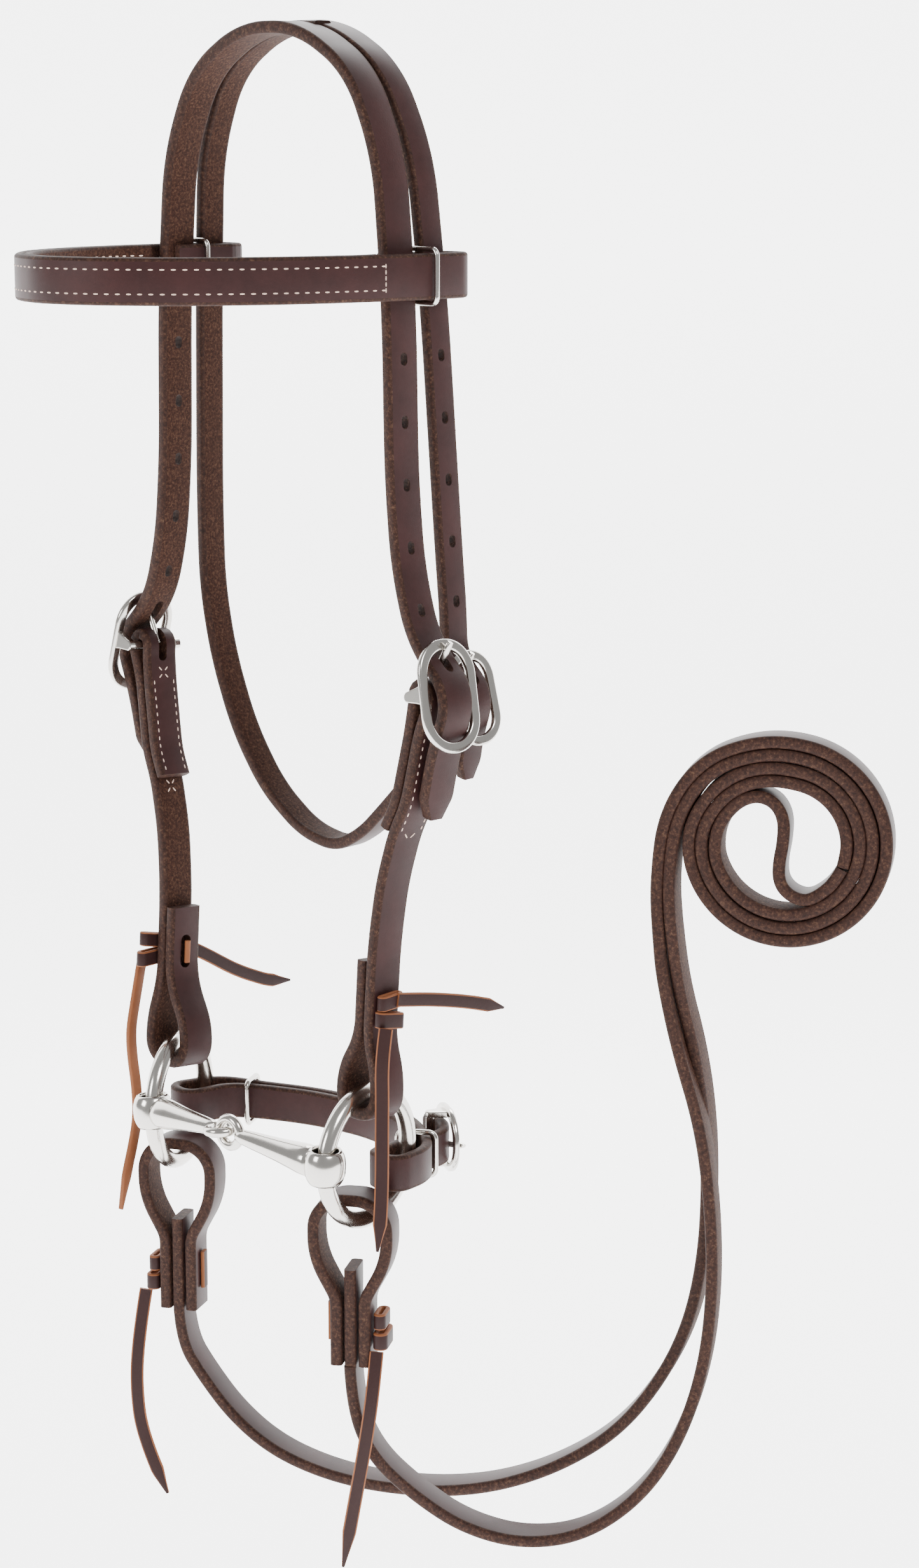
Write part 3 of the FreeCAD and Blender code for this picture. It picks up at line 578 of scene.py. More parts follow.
def lathe_into(bm, origin, axis, profile):
    """Adds a turned shape: profile points are (distance along the axis, radius)."""
    steps = 40
    helper = Vector((0, 0, 1)) if abs(axis.z) < 0.9 else Vector((1, 0, 0))
    u = axis.cross(helper).normalized()
    v = axis.cross(u).normalized()
    rings = []
    for along, radius in profile:
        rings.append([bm.verts.new((origin + axis * along + (u * math.cos(2 * math.pi * k / steps)
                      + v * math.sin(2 * math.pi * k / steps)) * radius) * MM) for k in range(steps)])
    closed = profile[0] == profile[-1]
    if closed:
        bmesh.ops.delete(bm, geom=rings[-1], context="VERTS")
        rings[-1] = rings[0]
    for a, b in zip(rings, rings[1:]):
        for j in range(steps):
            bm.faces.new((a[j], a[(j + 1) % steps], b[(j + 1) % steps], b[j])).smooth = True
    if not closed:
        bm.faces.new(rings[0])
        bm.faces.new(rings[-1])


def cannon(side, hole, joint, flat):
    """Half of the mouthpiece."""
    hole, joint = Vector(hole), Vector(joint)
    aim = (joint - hole).normalized()
    across = Vector((0, 0, 1)).cross(aim).normalized()
    up = aim.cross(across).normalized()
    reach = (joint - hole).length
    bm = bmesh.new()
    barrel = []
    for k in range(15):
        height = -7.4 + 14.8 * k / 14
        barrel.append((height, 8.8 - 2.1 * abs(height / 7.4) ** 2.6))
    barrel += [(7.2, 5.9), (6.2, 5.6), (-6.2, 5.6), (-7.2, 5.9), barrel[0]]
    lathe_into(bm, hole, up, barrel)
    end = reach - 8.6
    profile = [(6.4, 6.0), (8.5, 6.7), (12.0, 6.8), (18.0, 6.1), (26.0, 5.2), (34.0, 4.5), (42.0, 3.9),
               (end - 3.0, 3.3), (end, 2.8), (end + 0.8, 2.2)]
    lathe_into(bm, hole, aim, profile)
    centre = hole + aim * (reach - 3.0)
    frames = []
    wide = across if flat else up
    for k in range(40):
        a = 2 * math.pi * k / 40
        out = aim * math.cos(a) + wide * math.sin(a)
        frames.append((centre + out * 6.0, out, aim.cross(wide)))
    sweep_into(bm, frames, round_section(2.1, 14), True)
    return mesh_object("mouthpiece_" + side, finish_mesh(bm, "mouthpiece"), [NICKEL], "mouth_" + side,
                       ["cannon_" + side])


# ----------------------------------------------------------------- headpiece
CROWN = [(18, 2.6), (50.5, -15), (67.5, -50), (73, -108), (74.4, -178)]
BILLET = [(78, -214), (87.1, -243.8), (109.5, -264), (99.7, -288), (92.6, -317)]
HOLES = [-130.0, -155.5, -181.0, -206.5, -231.5]
THROAT_BILLET = [(77, -206), (78.6, -236), (78.4, -255.2), (94.2, -269.5), (86.2, -290), (83, -306)]
THROAT_RUN = [(79.4, -200), (80.6, -240), (75, -272), (62.5, -304), (44, -329), (20, -344.5),
              (-3, -348), (-21, -339), (-37, -325), (-52, -311)]
THROAT_PLACE = about_x(SPLIT_TILT) @ upright(0, 14.65)


def at_height(points, z):
    """X of a route where it crosses a height."""
    for a, b in zip(points, points[1:]):
        if min(a.y, b.y) <= z <= max(a.y, b.y) and a.x * b.x > 0:
            return a.x + (b.x - a.x) * (z - a.y) / (b.y - a.y)
    return None


def headpiece():
    """Split crown with its billets, and the throat strap that its rear half becomes."""
    near = CROWN + BILLET
    front = bends(mirrored(list(reversed(near))) + near)
    front_frames = flat_frames(front, upright())
    half = len(front) // 2
    holes = []
    for side_path in (front[half:], front[:half]):
        for z in HOLES:
            x = at_height(side_path, z)
            holes.append((Vector((x, 0, z)), Vector((0, 0, 1)), Vector((1, 0, 0)), 5.4, 3.6, 9.0))
        x = at_height(side_path, -252.5)
        holes.append((Vector((x, 0.9, -250.5)), Vector((0, 0, 1)), Vector((1, 0, 0)), 9.0, 4.2, 12.0))
    strap("crown_front", [front_frames], STRAP, THICK, "headstall", ["headpiece"], holes=holes,
          tips={0: (9.0, 9.0, 0.45)})
    rear_near = list(reversed(CROWN[:4] + THROAT_BILLET))
    far = mirrored(THROAT_RUN)
    rise = [(63.5, -299), (81.0, -288.0), (THROAT_BAR[0] + 4.8, THROAT_BAR[1] - 2.0),
            (THROAT_BAR[0] + 4.8, THROAT_BAR[1] + 4.8), (THROAT_BAR[0] - 4.8, THROAT_BAR[1] + 4.8),
            (THROAT_BAR[0] - 4.8, THROAT_BAR[1] - 5.0), (67.2, -288.6), (52.5, -301.2)]
    points = rear_near + mirrored(CROWN[:4]) + far + rise
    base = len(points) - len(rise)
    radii = {base + 2: 9.0, base + 3: 4.8, base + 4: 4.79, base + 5: 8.0}
    path = bends(points, radii)
    frames = flat_frames(path, THROAT_PLACE, -1.0)
    down = THROAT_PLACE.to_3x3() @ Vector((0, 1, 0))
    holes = []
    near_part = path[:len(path) // 4]
    for z in HOLES:
        x = at_height(near_part, z)
        holes.append((THROAT_PLACE @ Vector((x, z, 0)), down, Vector((1, 0, 0)), 5.2, 3.4, 8.0))
    x = at_height(near_part, -259.3)
    holes.append((THROAT_PLACE @ Vector((x, -259.3, 0)), down, Vector((1, 0, 0)), 12.0, 4.0, 10.0))
    split = len(path) // 2
    strap("crown_rear", [frames[:split + 1]], THROAT, THICK, "headstall", holes=holes,
          tips={0: (8.0, 0.0, 0.45)})
    strap("throat_strap", [frames[split:]], THROAT, THICK, "headstall")
    # the two halves are one piece over the poll
    bridge = [Vector((x, 2.6)) for x in range(-16, 17, 4)]
    place = upright(0, 9.8)
    strap("crown_bridge", [flat_frames(bridge, place)], 9.0, THICK, "headstall")
    bm = bmesh.new()
    last = frames[-30:]
    for offset in (-4.4, 4.4):
        stitch_row(bm, last, offset, THREAD_RISE, 4.0, lengths(last)[-1] - 2.0, 4.2, 2.4)
    thread_object("throat_stitches", bm, "headstall")


# ------------------------------------------------------------------- browband
def browband():
    """Two layers of strap, each end looped round both crown straps and wired between them."""
    outer = [(81.0, 20.0), (81.6, 8.0), (80.0, -24.0), (72.5, -60.0), (54.0, -94.0), (26.0, -117.0)]
    fold = [(65.6, -4.0), (65.2, 22.0), (64.4, 32.6), (79.6, 32.6)]
    points = fold + outer + [(0.0, -124.2)] + mirrored(list(reversed(outer))) + mirrored(list(reversed(fold)))
    last = len(points) - 1
    radii = {2: 6.0, 3: 6.0, last - 2: 6.0, last - 3: 6.0}
    path = bends(points, radii)
    frames = flat_frames(path, level(BROW_Z), 1.0)
    strap("browband_face", [frames], BROW_HIGH, BROW_THICK, "browband", ["browband_strap"])
    lining = [(73.6, -13.0), (75.8, -27.0), (68.9, -59.0), (51.2, -91.3), (24.8, -113.5)]
    inside = bends(lining + [(0.0, -120.4)] + mirrored(list(reversed(lining))))
    lining_frames = flat_frames(inside, level(BROW_Z), 1.0)
    strap("browband_back", [lining_frames], BROW_HIGH, BROW_THICK, "browband", ["browband_lining"],
          materials=(FLESH, FLESH, EDGE))
    bm = bmesh.new()
    marks = lengths(frames)
    total = marks[-1]
    start = 0.0
    for i, (centre, _, _) in enumerate(frames):
        if i > len(frames) // 10 and centre.y < -14.0:
            start = marks[i]
            break
    behind = [(at, across, out * -1.0) for at, across, out in lining_frames]
    rise = 1.5
    for offset in (-4.75, 4.75):
        stitch_row(bm, frames, offset, rise, start, total - start, 4.4, 2.5)
        stitch_row(bm, behind, offset, rise, 3.0, lengths(behind)[-1] - 3.0, 4.4, 2.5)
    for end in (start - 1.0, total - start + 1.0):
        centre, across, out, _ = frame_at(frames, marks, end)
        for k in range(-2, 3):
            stitch(bm, centre + across * (k * 2.4) + out * rise, across, out, 2.3)
    thread_object("browband_stitches", bm, "browband")
    for side, sign in (("near", 1), ("far", -1)):
        place = Matrix.Translation((sign * 73.6, 10.05, BROW_Z)) @ Matrix.Rotation(math.radians(90), 4, "X")
        wire_loop("browband_wire_" + side, place, 20.4, 19.6, 2.2, "browband_keeper_" + side, "browband")


# --------------------------------------------------------------------- cheeks
CHEEK_OUTER = [(98.0, -268.5), (92.8, -281), (86.5, -312), (79.9, -325), (73.6, -347),
               (70.4, -374), (70.1, -414)]
LOOPS_AT = {"near": (65.5, 10.6, 0.0), "far": (64.3, 12.1, 4.0)}
LOOP_LOW = -447.0


def cheek_side(side):
    """Place of the cheek: tilted forward, and turned half round for the far side."""
    place = about_x(CHEEK_TILT, BAR[1])
    if side == "far":
        place = place @ Matrix.Rotation(math.pi, 4, "Z")
    return place


def cross_stitch(bm, frames, marks, distance, spread):
    """Two stitches crossing in an X."""
    centre, across, face, way = frame_at(frames, marks, distance)
    for lean in (-1.0, 1.0):
        for step in (-1.3, 1.3):
            aim = (way + across * lean * spread).normalized()
            stitch(bm, centre + aim * step * 1.8 + face * THREAD_RISE, aim, face, 2.8)


def cheek(side):
    """Cheek strap folded round the buckle bar and turned up round the ring, with its stitching."""
    middle, half, drop = LOOPS_AT[side]
    low = LOOP_LOW - drop
    bx, bz = BAR
    top = bz + 4.8
    points = [(74.9, -323), (80.6, -312), (86.8, -282), (bx - 4.8, -270), (bx - 4.8, top), (bx + 4.8, top)]
    points += CHEEK_OUTER + [(middle + half, -430 - drop), (middle + half, low), (middle - half, low),
                                  (middle - half, -430 - drop), (64.5, -414), (64.5, -381)]
    count = len(points)
    radii = {3: 20.0, 4: 4.79, 5: 4.79, 6: 10.0, count - 5: 8.9, count - 4: 8.9}
    path = bends(points, radii, 1.6)
    place = cheek_side(side) @ upright()
    frames = flat_frames(path, place, 1.0)
    up = place.to_3x3() @ Vector((0, 1, 0))
    out = place.to_3x3() @ Vector((1, 0, 0))
    slot_at = place @ Vector((bx, bz + 1.5, 0))
    holes = [(slot_at, up, out, 16.0, 4.4, 12.0),
             (place @ Vector((64.5, -401.0, 0)), up, out, 15.0, 5.4, 3.4)]
    strap("cheek_" + side, [frames], STRAP, THICK, "headstall", ["cheek_strap_" + side], holes=holes)
    bm = bmesh.new()
    marks = lengths(frames)
    turn_over = 60.0
    end = max(m for m in marks if m < turn_over) - 14.0
    outer_start = next(m for m, p in zip(marks, path) if m > turn_over and p.y < -283.0)
    outer_end = next(m for m, p in zip(marks, path) if m > turn_over and p.y < -322.0)
    for first, last in ((3.0, end), (outer_start, outer_end)):
        for offset in (-5.4, 5.4):
            stitch_row(bm, frames, offset, THREAD_RISE, first, last, 3.6, 2.2)
    centre, across, face, way = frame_at(frames, marks, outer_end + 3.0)
    for k in (-1, 1):
        aim = (way - across * (k * 0.9)).normalized()
        stitch(bm, centre + across * (k * 1.8) + face * THREAD_RISE, aim, face, 3.6)
    cross_stitch(bm, frames, marks, end + 2.0, 1.0)
    inside = [(at, across, face * -1.0) for at, across, face in frames]
    cross_stitch(bm, inside, marks, outer_end + 7.0, 0.8)
    thread_object("cheek_stitches_" + side, bm, "headstall")
    lace(side, place)


def lace(side, place):
    """Lace knot over the turned-up end: two wraps, a pin inside and the rearward tail."""
    bm = bmesh.new()
    turn = place.to_3x3()
    middle, proud, face = (0.0, 73.8, 1.0) if side == "near" else (8.0, 75.0, -1.0)

    def wrap(z, outer, deep, tall, lean):
        path = oval(outer, deep, deep / 2.0 - 0.05, 6)
        frames = []
        count = len(path)
        for i, p in enumerate(path):
            way = (path[(i + 1) % count] - path[i - 1]).normalized()
            centre = place @ Vector((proud + deep / 2.0 + p.y, z + p.x * lean, middle + p.x))
            normal = turn @ Vector((-way.x, 0, way.y))
            frames.append((centre, turn @ Vector((0, 1, 0)), normal.normalized()))
        sweep_into(bm, frames, strap_section(tall, 1.9, LACE_ROUND), True)

    wrap(-397.4, 10.5, 3.0, 6.4, 0.14)
    wrap(-405.4, 12.5, 3.6, 6.8, -0.1)
    pin = [place @ Vector((60.6, z, 0)) for z in (-396.0, -406.0)]
    inside = [(pin[0].lerp(pin[1], k / 4), turn @ Vector((0, 0, 1)), turn @ Vector((1, 0, 0)))
              for k in range(5)]
    sweep_into(bm, inside, strap_section(2.6, 1.8, 0.7))
    rearward = [(2.0, -396.5), (22.0, -398.6), (43.0, -402.0), (64.0, -407.0)]
    if side == "far":
        rearward = [(2.0, -396.5), (-20.0, -405.5), (-43.5, -417.7), (-63.0, -424.5), (-75.4, -425.5)]
    path = bends(rearward, None, 1.5)
    frames = []
    for i, p in enumerate(path):
        way = (path[min(len(path) - 1, i + 1)] - path[max(0, i - 1)]).normalized()
        centre = place @ Vector((77.7, p.y, p.x))
        across = turn @ Vector((0, way.x, -way.y))
        frames.append((centre, across.normalized(), turn @ Vector((face, 0, 0))))
    widths = tapers(len(frames), 1.5, 0.0, 9.0, 0.15)
    sweep_into(bm, frames, strap_section(LACE, LACE_THICK, LACE_ROUND), widths=widths)
    mesh_object("lace_" + side, finish_mesh(bm, "lace"), LACE_FACES, "headstall",
                ["cheek_lace_" + side])


def bar_of(plate, bar, lean):
    """The bar measured in its plate's own axes."""
    a = math.radians(lean)
    dx, dz = bar[0] - plate[0], bar[1] - plate[1]
    return (-math.sin(a) * dx + math.cos(a) * dz, math.cos(a) * dx + math.sin(a) * dz)


def buckles():
    """Cheek and throat buckles with their tongues."""
    plate = (102.4, -265.0)
    for side in ("near", "far"):
        place = cheek_side(side)
        buckle("buckle_" + side, plate_place(*plate, PLATE_LEAN, place), (31.0, 47.0), 4.6,
               bar_of(plate, BAR, PLATE_LEAN), (11.0, 14.5), 12.5, "cheek_buckle_" + side, "headstall")
        tongue("prong_" + side, place @ Vector((BAR[0], 0, BAR[1])), place @ Vector((101.9, 0, -243.0)),
               place.to_3x3() @ Vector((0, 1, 0)), 3.0, "cheek_tongue_" + side, "tongue_" + side)
    plate = (89.4, -271.3)
    place = about_x(SPLIT_TILT)
    buckle("buckle_throat", plate_place(*plate, PLATE_LEAN, place, 14.65), (26.0, 40.0), 4.2,
           bar_of(plate, THROAT_BAR, PLATE_LEAN), (8.8, 11.8), 10.0, "throat_buckle", "headstall")
    tongue("prong_throat", place @ Vector((THROAT_BAR[0], 14.65, THROAT_BAR[1])),
           place @ Vector((89.6, 14.65, -252.3)), place.to_3x3() @ Vector((0, 1, 0)), 2.8,
           "throat_tongue", "tongue_throat")


# ----------------------------------------------------------------- curb strap
CURB_BAR = Vector((40.3, 46.4))
CURB_OUT = Vector((0.454, 0.891))
CURB_UP = Vector((0.891, -0.454))


def curb():
    """Curb strap round both rings, its wire keepers and its buckle."""
    inner = [(53.6, 3.0), (52.2, 17.0), (46, 31), (28, 40.2), (0, 44), (-30, 38.5), (-54, 27.5),
             (-66.8, 18.5)]
    outer = [(-79.8, 23.0), (-56.5, 31.9), (-31.5, 43.3), (0, 49.0), (29.5, 45.0),
             (49.8, 34.7), (66.0, 21.5)]
    far_bend = [(-68.6, -3.6), (-85.4, -1.0)]
    near_bend = [(69.8, -0.2), (53.8, -1.0), (53.1, 6.0)]
    points = inner + far_bend + outer + near_bend
    index = len(inner)
    radii = {index: 6.4, index + 1: 6.4, len(points) - 3: 6.0, len(points) - 2: 4.6}
    path = bends(points, radii)
    loop = flat_frames(path, level(CURB_Z), 1.0)
    billet = [CURB_BAR + CURB_UP * a + CURB_OUT * b
              for a, b in ((18, -4.6), (12, 3.0), (0, 6.4), (-12.5, 3.3), (-20, 4.2))]
    over = flat_frames(bends(billet), level(CURB_Z), -1.0)
    up3 = Vector((CURB_UP.x, CURB_UP.y, 0))
    out3 = Vector((CURB_OUT.x, CURB_OUT.y, 0))
    bar = Vector((CURB_BAR.x, CURB_BAR.y, CURB_Z))
    holes = [(bar + up3 * 6.0 + out3 * 4.0, up3, out3, 11.0, 3.8, 5.0)]
    strap("curb", [loop, over], STRAP, CURB_THICK, "curb", ["curb_strap"], holes=holes,
          tips={1: (0.0, 7.0, 0.5)})
    along = up3.cross(out3)
    plate = bar + out3 * 7.6
    place = Matrix(((along.x, up3.x, out3.x, plate.x), (along.y, up3.y, out3.y, plate.y),
                    (along.z, up3.z, out3.z, CURB_Z), (0, 0, 0, 1)))
    buckle("buckle_curb", place, (29.0, 34.0), 4.0, (0.0, -7.6), (9.8, 12.6), 11.0, "curb_buckle",
           "curb")
    tongue("prong_curb", bar, bar + up3 * 15.4 + out3 * 11.0, along, 2.8, "curb_tongue", "tongue_curb")
    for side, at, heading, wide in (("near", (52.4, 27.1), 36.9, 14.6),
                                    ("far", (-59.7, 27.0), 122.0, 13.4)):
        h = math.radians(heading)
        place = Matrix(((math.cos(h), 0, math.sin(h), at[0]), (math.sin(h), 0, -math.cos(h), at[1]),
                        (0, 1, 0, CURB_Z), (0, 0, 0, 1)))
        wire_loop("curb_wire_" + side, place, wide, 17.2, 2.4, "curb_keeper_" + side, "curb")


# ---------------------------------------------------------------------- reins
LOOPS = {"near": {"foot": (65.0, -16.5), "heading": 35.0, "middle": -3.2, "top": -483.4, "low": -557.0,
                  "knot": 1},
         "far": {"foot": (-64.0, -12.0), "heading": 30.0, "middle": 0.6, "top": -488.8, "low": -567.0,
                 "knot": -1}}
REIN_ROUTES = {
    "near": [(62.4, -18.8, -557.0), (62.8, -18.0, -577.0), (67.6, -11.0, -599.0), (78.0, 3.5, -617.5),
             (93.5, 18.0, -632.0), (112.0, 36.0, -639.0), (133.0, 53.0, -633.5), (151.0, 69.0, -615.0),
             (163.5, 79.5, -588.0), (171.0, 86.0, -555.0), (174.0, 87.5, -519.0), (172.8, 86.5, -483.0),
             (169.5, 83.0, -448.0), (162.0, 76.0, -414.0), (157.3, 71.6, -384.0), (158.6, 72.7, -356.0),
             (162.0, 75.2, -336.0)],
    "far": [(-63.5, -11.7, -567.0), (-63.0, -11.0, -583.0), (-56.0, -5.0, -599.0), (-44.0, 2.5, -617.0),
            (-27.0, 11.5, -631.0), (-5.0, 23.0, -639.0), (19.0, 36.0, -642.0), (46.0, 50.0, -640.0),
            (71.0, 63.0, -633.0), (96.0, 76.0, -619.5), (119.0, 88.0, -600.0), (137.0, 96.0, -573.0),
            (149.0, 100.5, -545.0), (156.0, 101.5, -513.0), (159.0, 100.0, -480.0), (161.5, 95.0, -448.0),
            (163.6, 86.0, -417.0), (164.0, 79.0, -389.0), (165.0, 78.0, -366.0), (168.0, 79.6, -350.0)],
}
TAIL_ROUTES = {
    "near": [(75.4, -17.0, -550.0), (76.8, -20.3, -566.0), (74.7, -23.0, -590.0), (70.3, -25.4, -617.0),
             (64.7, -27.5, -648.0)],
    "far": [(-75.4, -24.3, -560.0), (-76.6, -27.8, -580.0), (-76.9, -30.2, -605.0), (-74.5, -28.4, -632.0),
            (-65.2, -21.9, -657.0)],
}
CHEEK_TAIL_ROUTES = {
    "near": [(79.8, -14.8, -407.0), (80.0, -16.4, -415.0), (80.4, -17.7, -424.6), (81.0, -18.1, -436.0),
             (81.5, -18.8, -449.4), (82.0, -19.3, -463.3), (82.5, -20.1, -477.8), (83.0, -21.4, -490.0),
             (83.0, -23.0, -501.7)],
    "far": [(-80.5, -19.6, -408.0), (-80.3, -21.6, -416.0), (-80.2, -24.0, -426.2),
            (-80.3, -26.4, -437.5), (-80.3, -26.1, -449.0), (-80.0, -24.2, -464.0),
            (-80.0, -23.6, -478.0), (-80.2, -26.4, -491.0), (-80.6, -30.3, -505.0),
            (-81.0, -33.6, -521.0)],
}


def smooth_line(points):
    """Closely spaced points of the smooth curve that a route's points control."""
    curve = bpy.data.curves.new("line", "CURVE")
    curve.dimensions = "3D"
    curve.resolution_u = 16
    spline = curve.splines.new("NURBS")
    spline.points.add(len(points) - 1)
    for knot, p in zip(spline.points, points):
        knot.co = (*(Vector(p) * MM), 1.0)
    spline.order_u = 3
    spline.use_endpoint_u = True
    made = bpy.data.objects.new("line", curve)
    bpy.context.scene.collection.objects.link(made)
    bpy.context.view_layer.update()
    graph = bpy.context.evaluated_depsgraph_get()
    mesh = bpy.data.meshes.new_from_object(made.evaluated_get(graph))
    line = [v.co / MM for v in mesh.vertices]
    bpy.data.objects.remove(made)
    return line


def hanging_frames(line, width_from, width_to):
    """Frames along a hanging strap whose width stays level, turning from one way to another."""
    frames = []
    count = len(line)
    for i, p in enumerate(line):
        way = (line[min(count - 1, i + 1)] - line[max(0, i - 1)]).normalized()
        k = i / (count - 1)
        across = width_from.lerp(width_to, k)
        across = (across - way * across.dot(way)).normalized()
        frames.append((p, across, way.cross(across).normalized()))
    return frames


def level_normal(heading):
    """Level way at right angles to a heading."""
    h = math.radians(heading)
    return Vector((-math.sin(h), math.cos(h), 0))


def coil_point(along, up):
    """Point of the coil's middle plane."""
    way = Vector((math.cos(COIL_HEADING), math.sin(COIL_HEADING), 0))
    return COIL_AT + way * along + Vector((0, 0, up))


def coil_turns(last, gap):
    """Points of a strap wound inwards, clockwise from the left, in polar steps."""
    out = []
    for sweep in range(-40, last + 1, 15):
        for (a, first), (b, second) in zip(COIL_RADII, COIL_RADII[1:]):
            if a <= sweep <= b:
                radius = first + (second - first) * (sweep - a) / (b - a)
        radius -= gap / math.cos(math.radians(min(0, sweep)))
        turn = math.pi - math.radians(sweep)
        out.append(coil_point(radius * math.cos(turn), radius * math.sin(turn)))
    return out


# sweep in degrees and radius of the outer strap's middle
COIL_RADII = [(-40, 68.0), (-34, 63.0), (-14, 54.2), (11, 50.5), (28, 48.9), (45, 47.3), (65, 44.4),
              (90, 42.2), (180, 41.2), (360, 40.8), (450, 31.0), (630, 29.8), (720, 30.0)]
# the rein's middle crosses the coil in an S
COIL_S = [(-28.6, 4.8), (-24.3, 12.4), (-18.4, 17.8), (-11.4, 19.8), (-4.6, 17.0), (-0.9, 10.2),
          (-1.2, 0.4), (-2.9, -8.6), (-2.5, -16.4), (2.0, -21.6), (9.0, -23.4), (15.4, -19.6),
          (20.4, -14.4), (23.1, -9.2)]
FAR_ABOVE = (161.8, 77.4, -389.0)


def strap_cord(name, line, width_from, width_to, nodes):
    """A flat strap along a free line."""
    frames = hanging_frames(line, width_from, width_to)
    bm = bmesh.new()
    sweep_into(bm, frames, strap_section(STRAP, THICK))
    made = mesh_object(name, finish_mesh(bm, name), [GRAIN, FLESH, EDGE], "headstall", nodes)


def reins():
    """Rein loops on the rings, the laced ends, the hanging reins and their coil."""
    for side in ("near", "far"):
        loop = LOOPS[side]
        mid, top, low = loop["middle"], loop["top"], loop["low"]
        place = upright(*loop["foot"], loop["heading"])
        right = [(mid + 16.0, top), (mid + 16.0, top - 26.0), (mid + 6.2, top - 44.0), (mid + 6.2, low)]
        left = [(2 * mid - x, z) for x, z in reversed(right)]
        path = bends(left + right, {1: 14.0, 3: 13.5, 4: 13.5, 6: 14.0}, 1.6)
        strap("rein_loop_strap_" + side, [flat_frames(path, place, 1.0)], STRAP, THICK, "headstall",
              ["rein_loop_" + side])
        end = bends([(mid, low + 43.0), (mid, low - 1.0)])
        strap("rein_end_strap_" + side, [flat_frames(end, place, 1.0)], STRAP, THICK, "headstall",
              ["rein_end_" + side])
        rein_knot(side, place, mid, low, loop["knot"])
        tail("rein_lace_end_" + side, TAIL_ROUTES[side], VIEW_HEADING, "rein_lace_tail_" + side)
    tail("cheek_lace_end_near", CHEEK_TAIL_ROUTES["near"], VIEW_HEADING, "cheek_lace_tail_near")
    tail("cheek_lace_end_far", CHEEK_TAIL_ROUTES["far"], 287.0, "cheek_lace_tail_far")
    axis = level_normal(math.degrees(COIL_HEADING))
    near = REIN_ROUTES["near"][:-2] + coil_turns(710, 0.0) + [coil_point(*p) for p in COIL_S]
    strap_cord("rein_strap_near", smooth_line(near), level_normal(LOOPS["near"]["heading"]), axis,
               ["rein_near", "rein_coil"])
    far = REIN_ROUTES["far"][:-3] + [FAR_ABOVE] + coil_turns(560, 5.45)
    strap_cord("rein_strap_far", smooth_line(far), level_normal(LOOPS["far"]["heading"]), axis,
               ["rein_far"])


def rein_knot(side, place, mid, low, way_out):
    """Lace through the loop's legs, knotted on one side."""
    bm = bmesh.new()
    turn = place.to_3x3()
    for z, wide, deep, tall in ((low + 20.0, 11.0, 3.4, 7.0), (low + 11.5, 13.5, 4.4, 7.4)):
        path = oval(wide, deep, deep / 2.0 - 0.05, 6)
        frames = []
        count = len(path)
        for i, p in enumerate(path):
            way = (path[(i + 1) % count] - path[i - 1]).normalized()
            centre = place @ Vector((mid + way_out * (10.6 + deep / 2.0 + p.y), z, p.x))
            normal = (turn @ Vector((-way.x * way_out, 0, way.y))).normalized()
            frames.append((centre, turn @ Vector((0, 1, 0)), normal))
        sweep_into(bm, frames, strap_section(tall, 2.0, 0.7), True)
    back = [(place @ Vector((mid - way_out * 10.0, low + z, 0)), turn @ Vector((0, 0, 1)),
             turn @ Vector((1, 0, 0))) for z in (9.5, 14.0, 18.0, 22.0, 26.5)]
    sweep_into(bm, back, strap_section(5.0, 1.8, 0.7))
    mesh_object("rein_lace_knot_" + side, finish_mesh(bm, "knot"), LACE_FACES,
                "headstall", ["rein_lace_" + side])


def tail(name, route, heading, node):
    """Hanging end of a lace, its width along a heading."""
    line = smooth_line(route)
    h = math.radians(heading)
    across = Vector((math.cos(h), math.sin(h), 0))
    frames = hanging_frames(line, across, across)
    bm = bmesh.new()
    widths = tapers(len(frames), (line[1] - line[0]).length, 0.0, 9.0, 0.2)
    sweep_into(bm, frames, strap_section(LACE, LACE_THICK, LACE_ROUND), widths=widths)
    made = mesh_object(name, finish_mesh(bm, name), LACE_FACES, "headstall", [node])


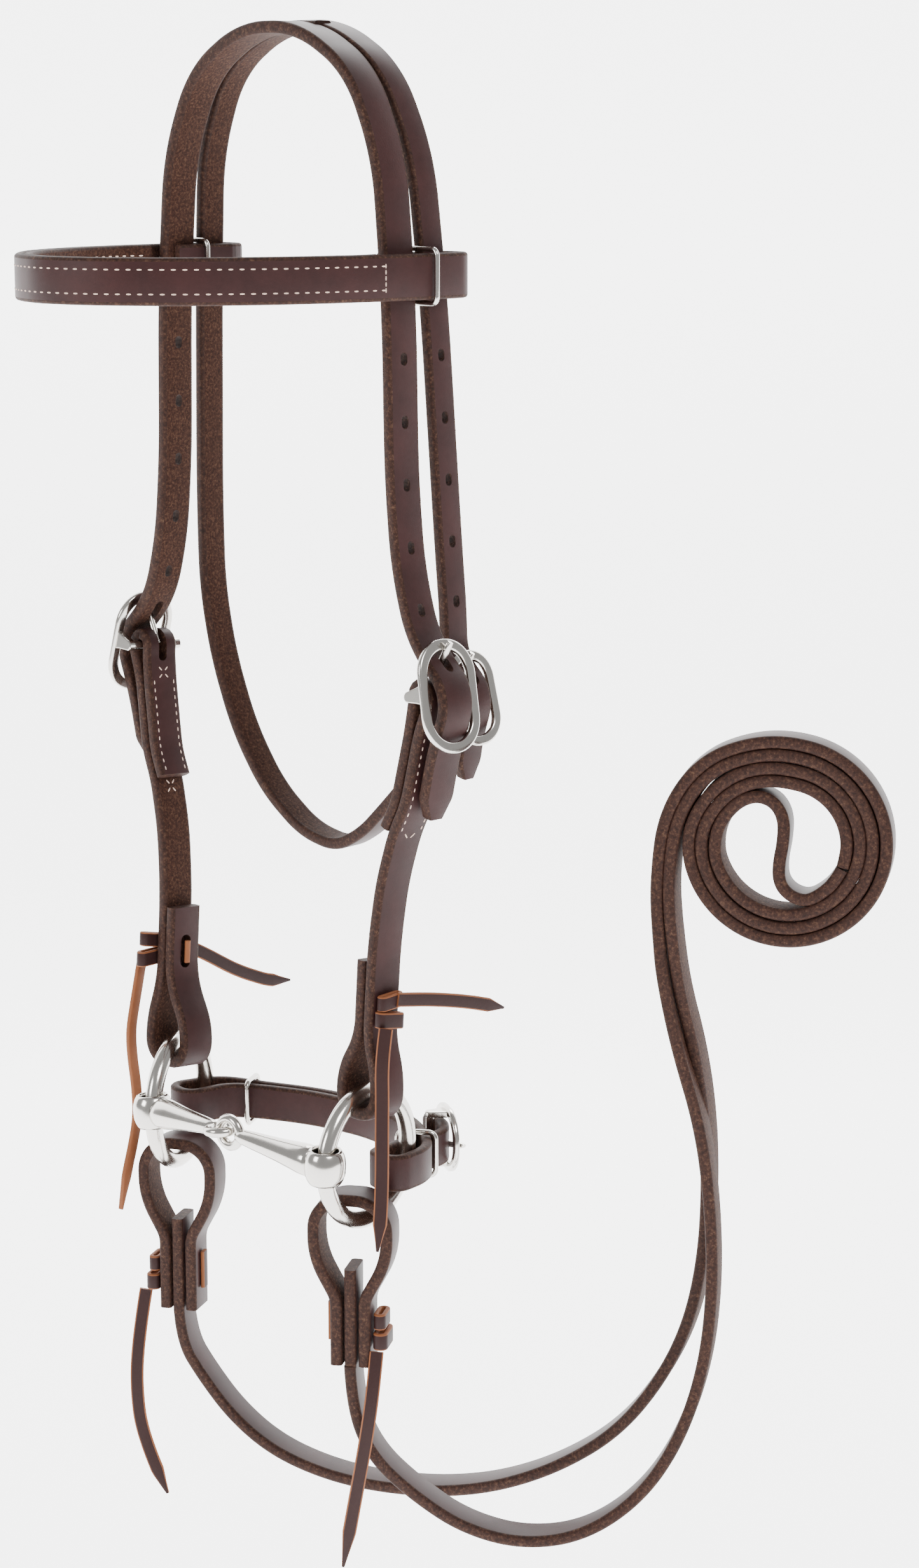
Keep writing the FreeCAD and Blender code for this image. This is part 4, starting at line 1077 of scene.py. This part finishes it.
# ---------------------------------------------------------------------- stage
def studio():
    """Pale sweep, a soft key light, a fill and a rim."""
    bm = bmesh.new()
    depth, floor, reach = 2.6, -1.0, 6.0
    view = level_normal(VIEW_HEADING)
    side = Vector((view.y, -view.x, 0))
    profile = [(-2.5, floor), (depth - 0.8, floor)]
    for k in range(1, 9):
        a = math.radians(90.0 * k / 8)
        profile.append((depth - 0.8 + 0.8 * math.sin(a), floor + 0.8 * (1 - math.cos(a))))
    profile.append((depth, 4.0))
    rows = [[bm.verts.new(view * d + side * s + Vector((0, 0, z))) for s in (-reach, reach)]
            for d, z in profile]
    for a, b in zip(rows, rows[1:]):
        bm.faces.new((a[0], a[1], b[1], b[0])).smooth = True
    mesh = bpy.data.meshes.new("sweep")
    bm.to_mesh(mesh)
    bm.free()
    pale, _, shader = material("pale")
    shader.inputs["Base Color"].default_value = (0.95, 0.95, 0.95, 1.0)
    shader.inputs["Roughness"].default_value = 0.95
    shader.inputs["Emission Color"].default_value = (1.0, 1.0, 1.0, 1.0)
    shader.inputs["Emission Strength"].default_value = 3.2
    mesh.materials.append(pale)
    sweep = bpy.data.objects.new("sweep", mesh)
    bpy.context.scene.collection.objects.link(sweep)
    for name, where, power, size in (("key", (1.7, -0.3, 1.3), 38.0, 0.9),
                                     ("fill", (-0.4, -2.0, 0.5), 22.0, 0.8),
                                     ("back", (-1.0, 1.2, 1.4), 24.0, 0.8)):
        data = bpy.data.lights.new(name, "AREA")
        data.energy = power
        data.size = size
        lamp = bpy.data.objects.new(name, data)
        lamp.location = where
        aim = Vector((0, 0, -0.25)) - Vector(where)
        lamp.rotation_euler = aim.to_track_quat("-Z", "Y").to_euler()
        bpy.context.scene.collection.objects.link(lamp)
    world = bpy.data.worlds.new("studio")
    world.use_nodes = True
    world.node_tree.nodes["Background"].inputs["Color"].default_value = (1.0, 1.0, 1.0, 1.0)
    world.node_tree.nodes["Background"].inputs["Strength"].default_value = 0.5
    bpy.context.scene.world = world


camera()
headpiece()
browband()
buckles()
for one_side in ("near", "far"):
    cheek(one_side)
curb()
ring("near", (64.2, -12.0, -466.0), 100.0)
ring("far", (-64.0, -12.0, -469.0), 117.0)
mouth_joint = (9.0, -44.5, -461.0)
cannon("near", (69.1, -39.6, -464.0), mouth_joint, False)
cannon("far", (-51.3, -36.9, -467.0), mouth_joint, True)
reins()
studio()
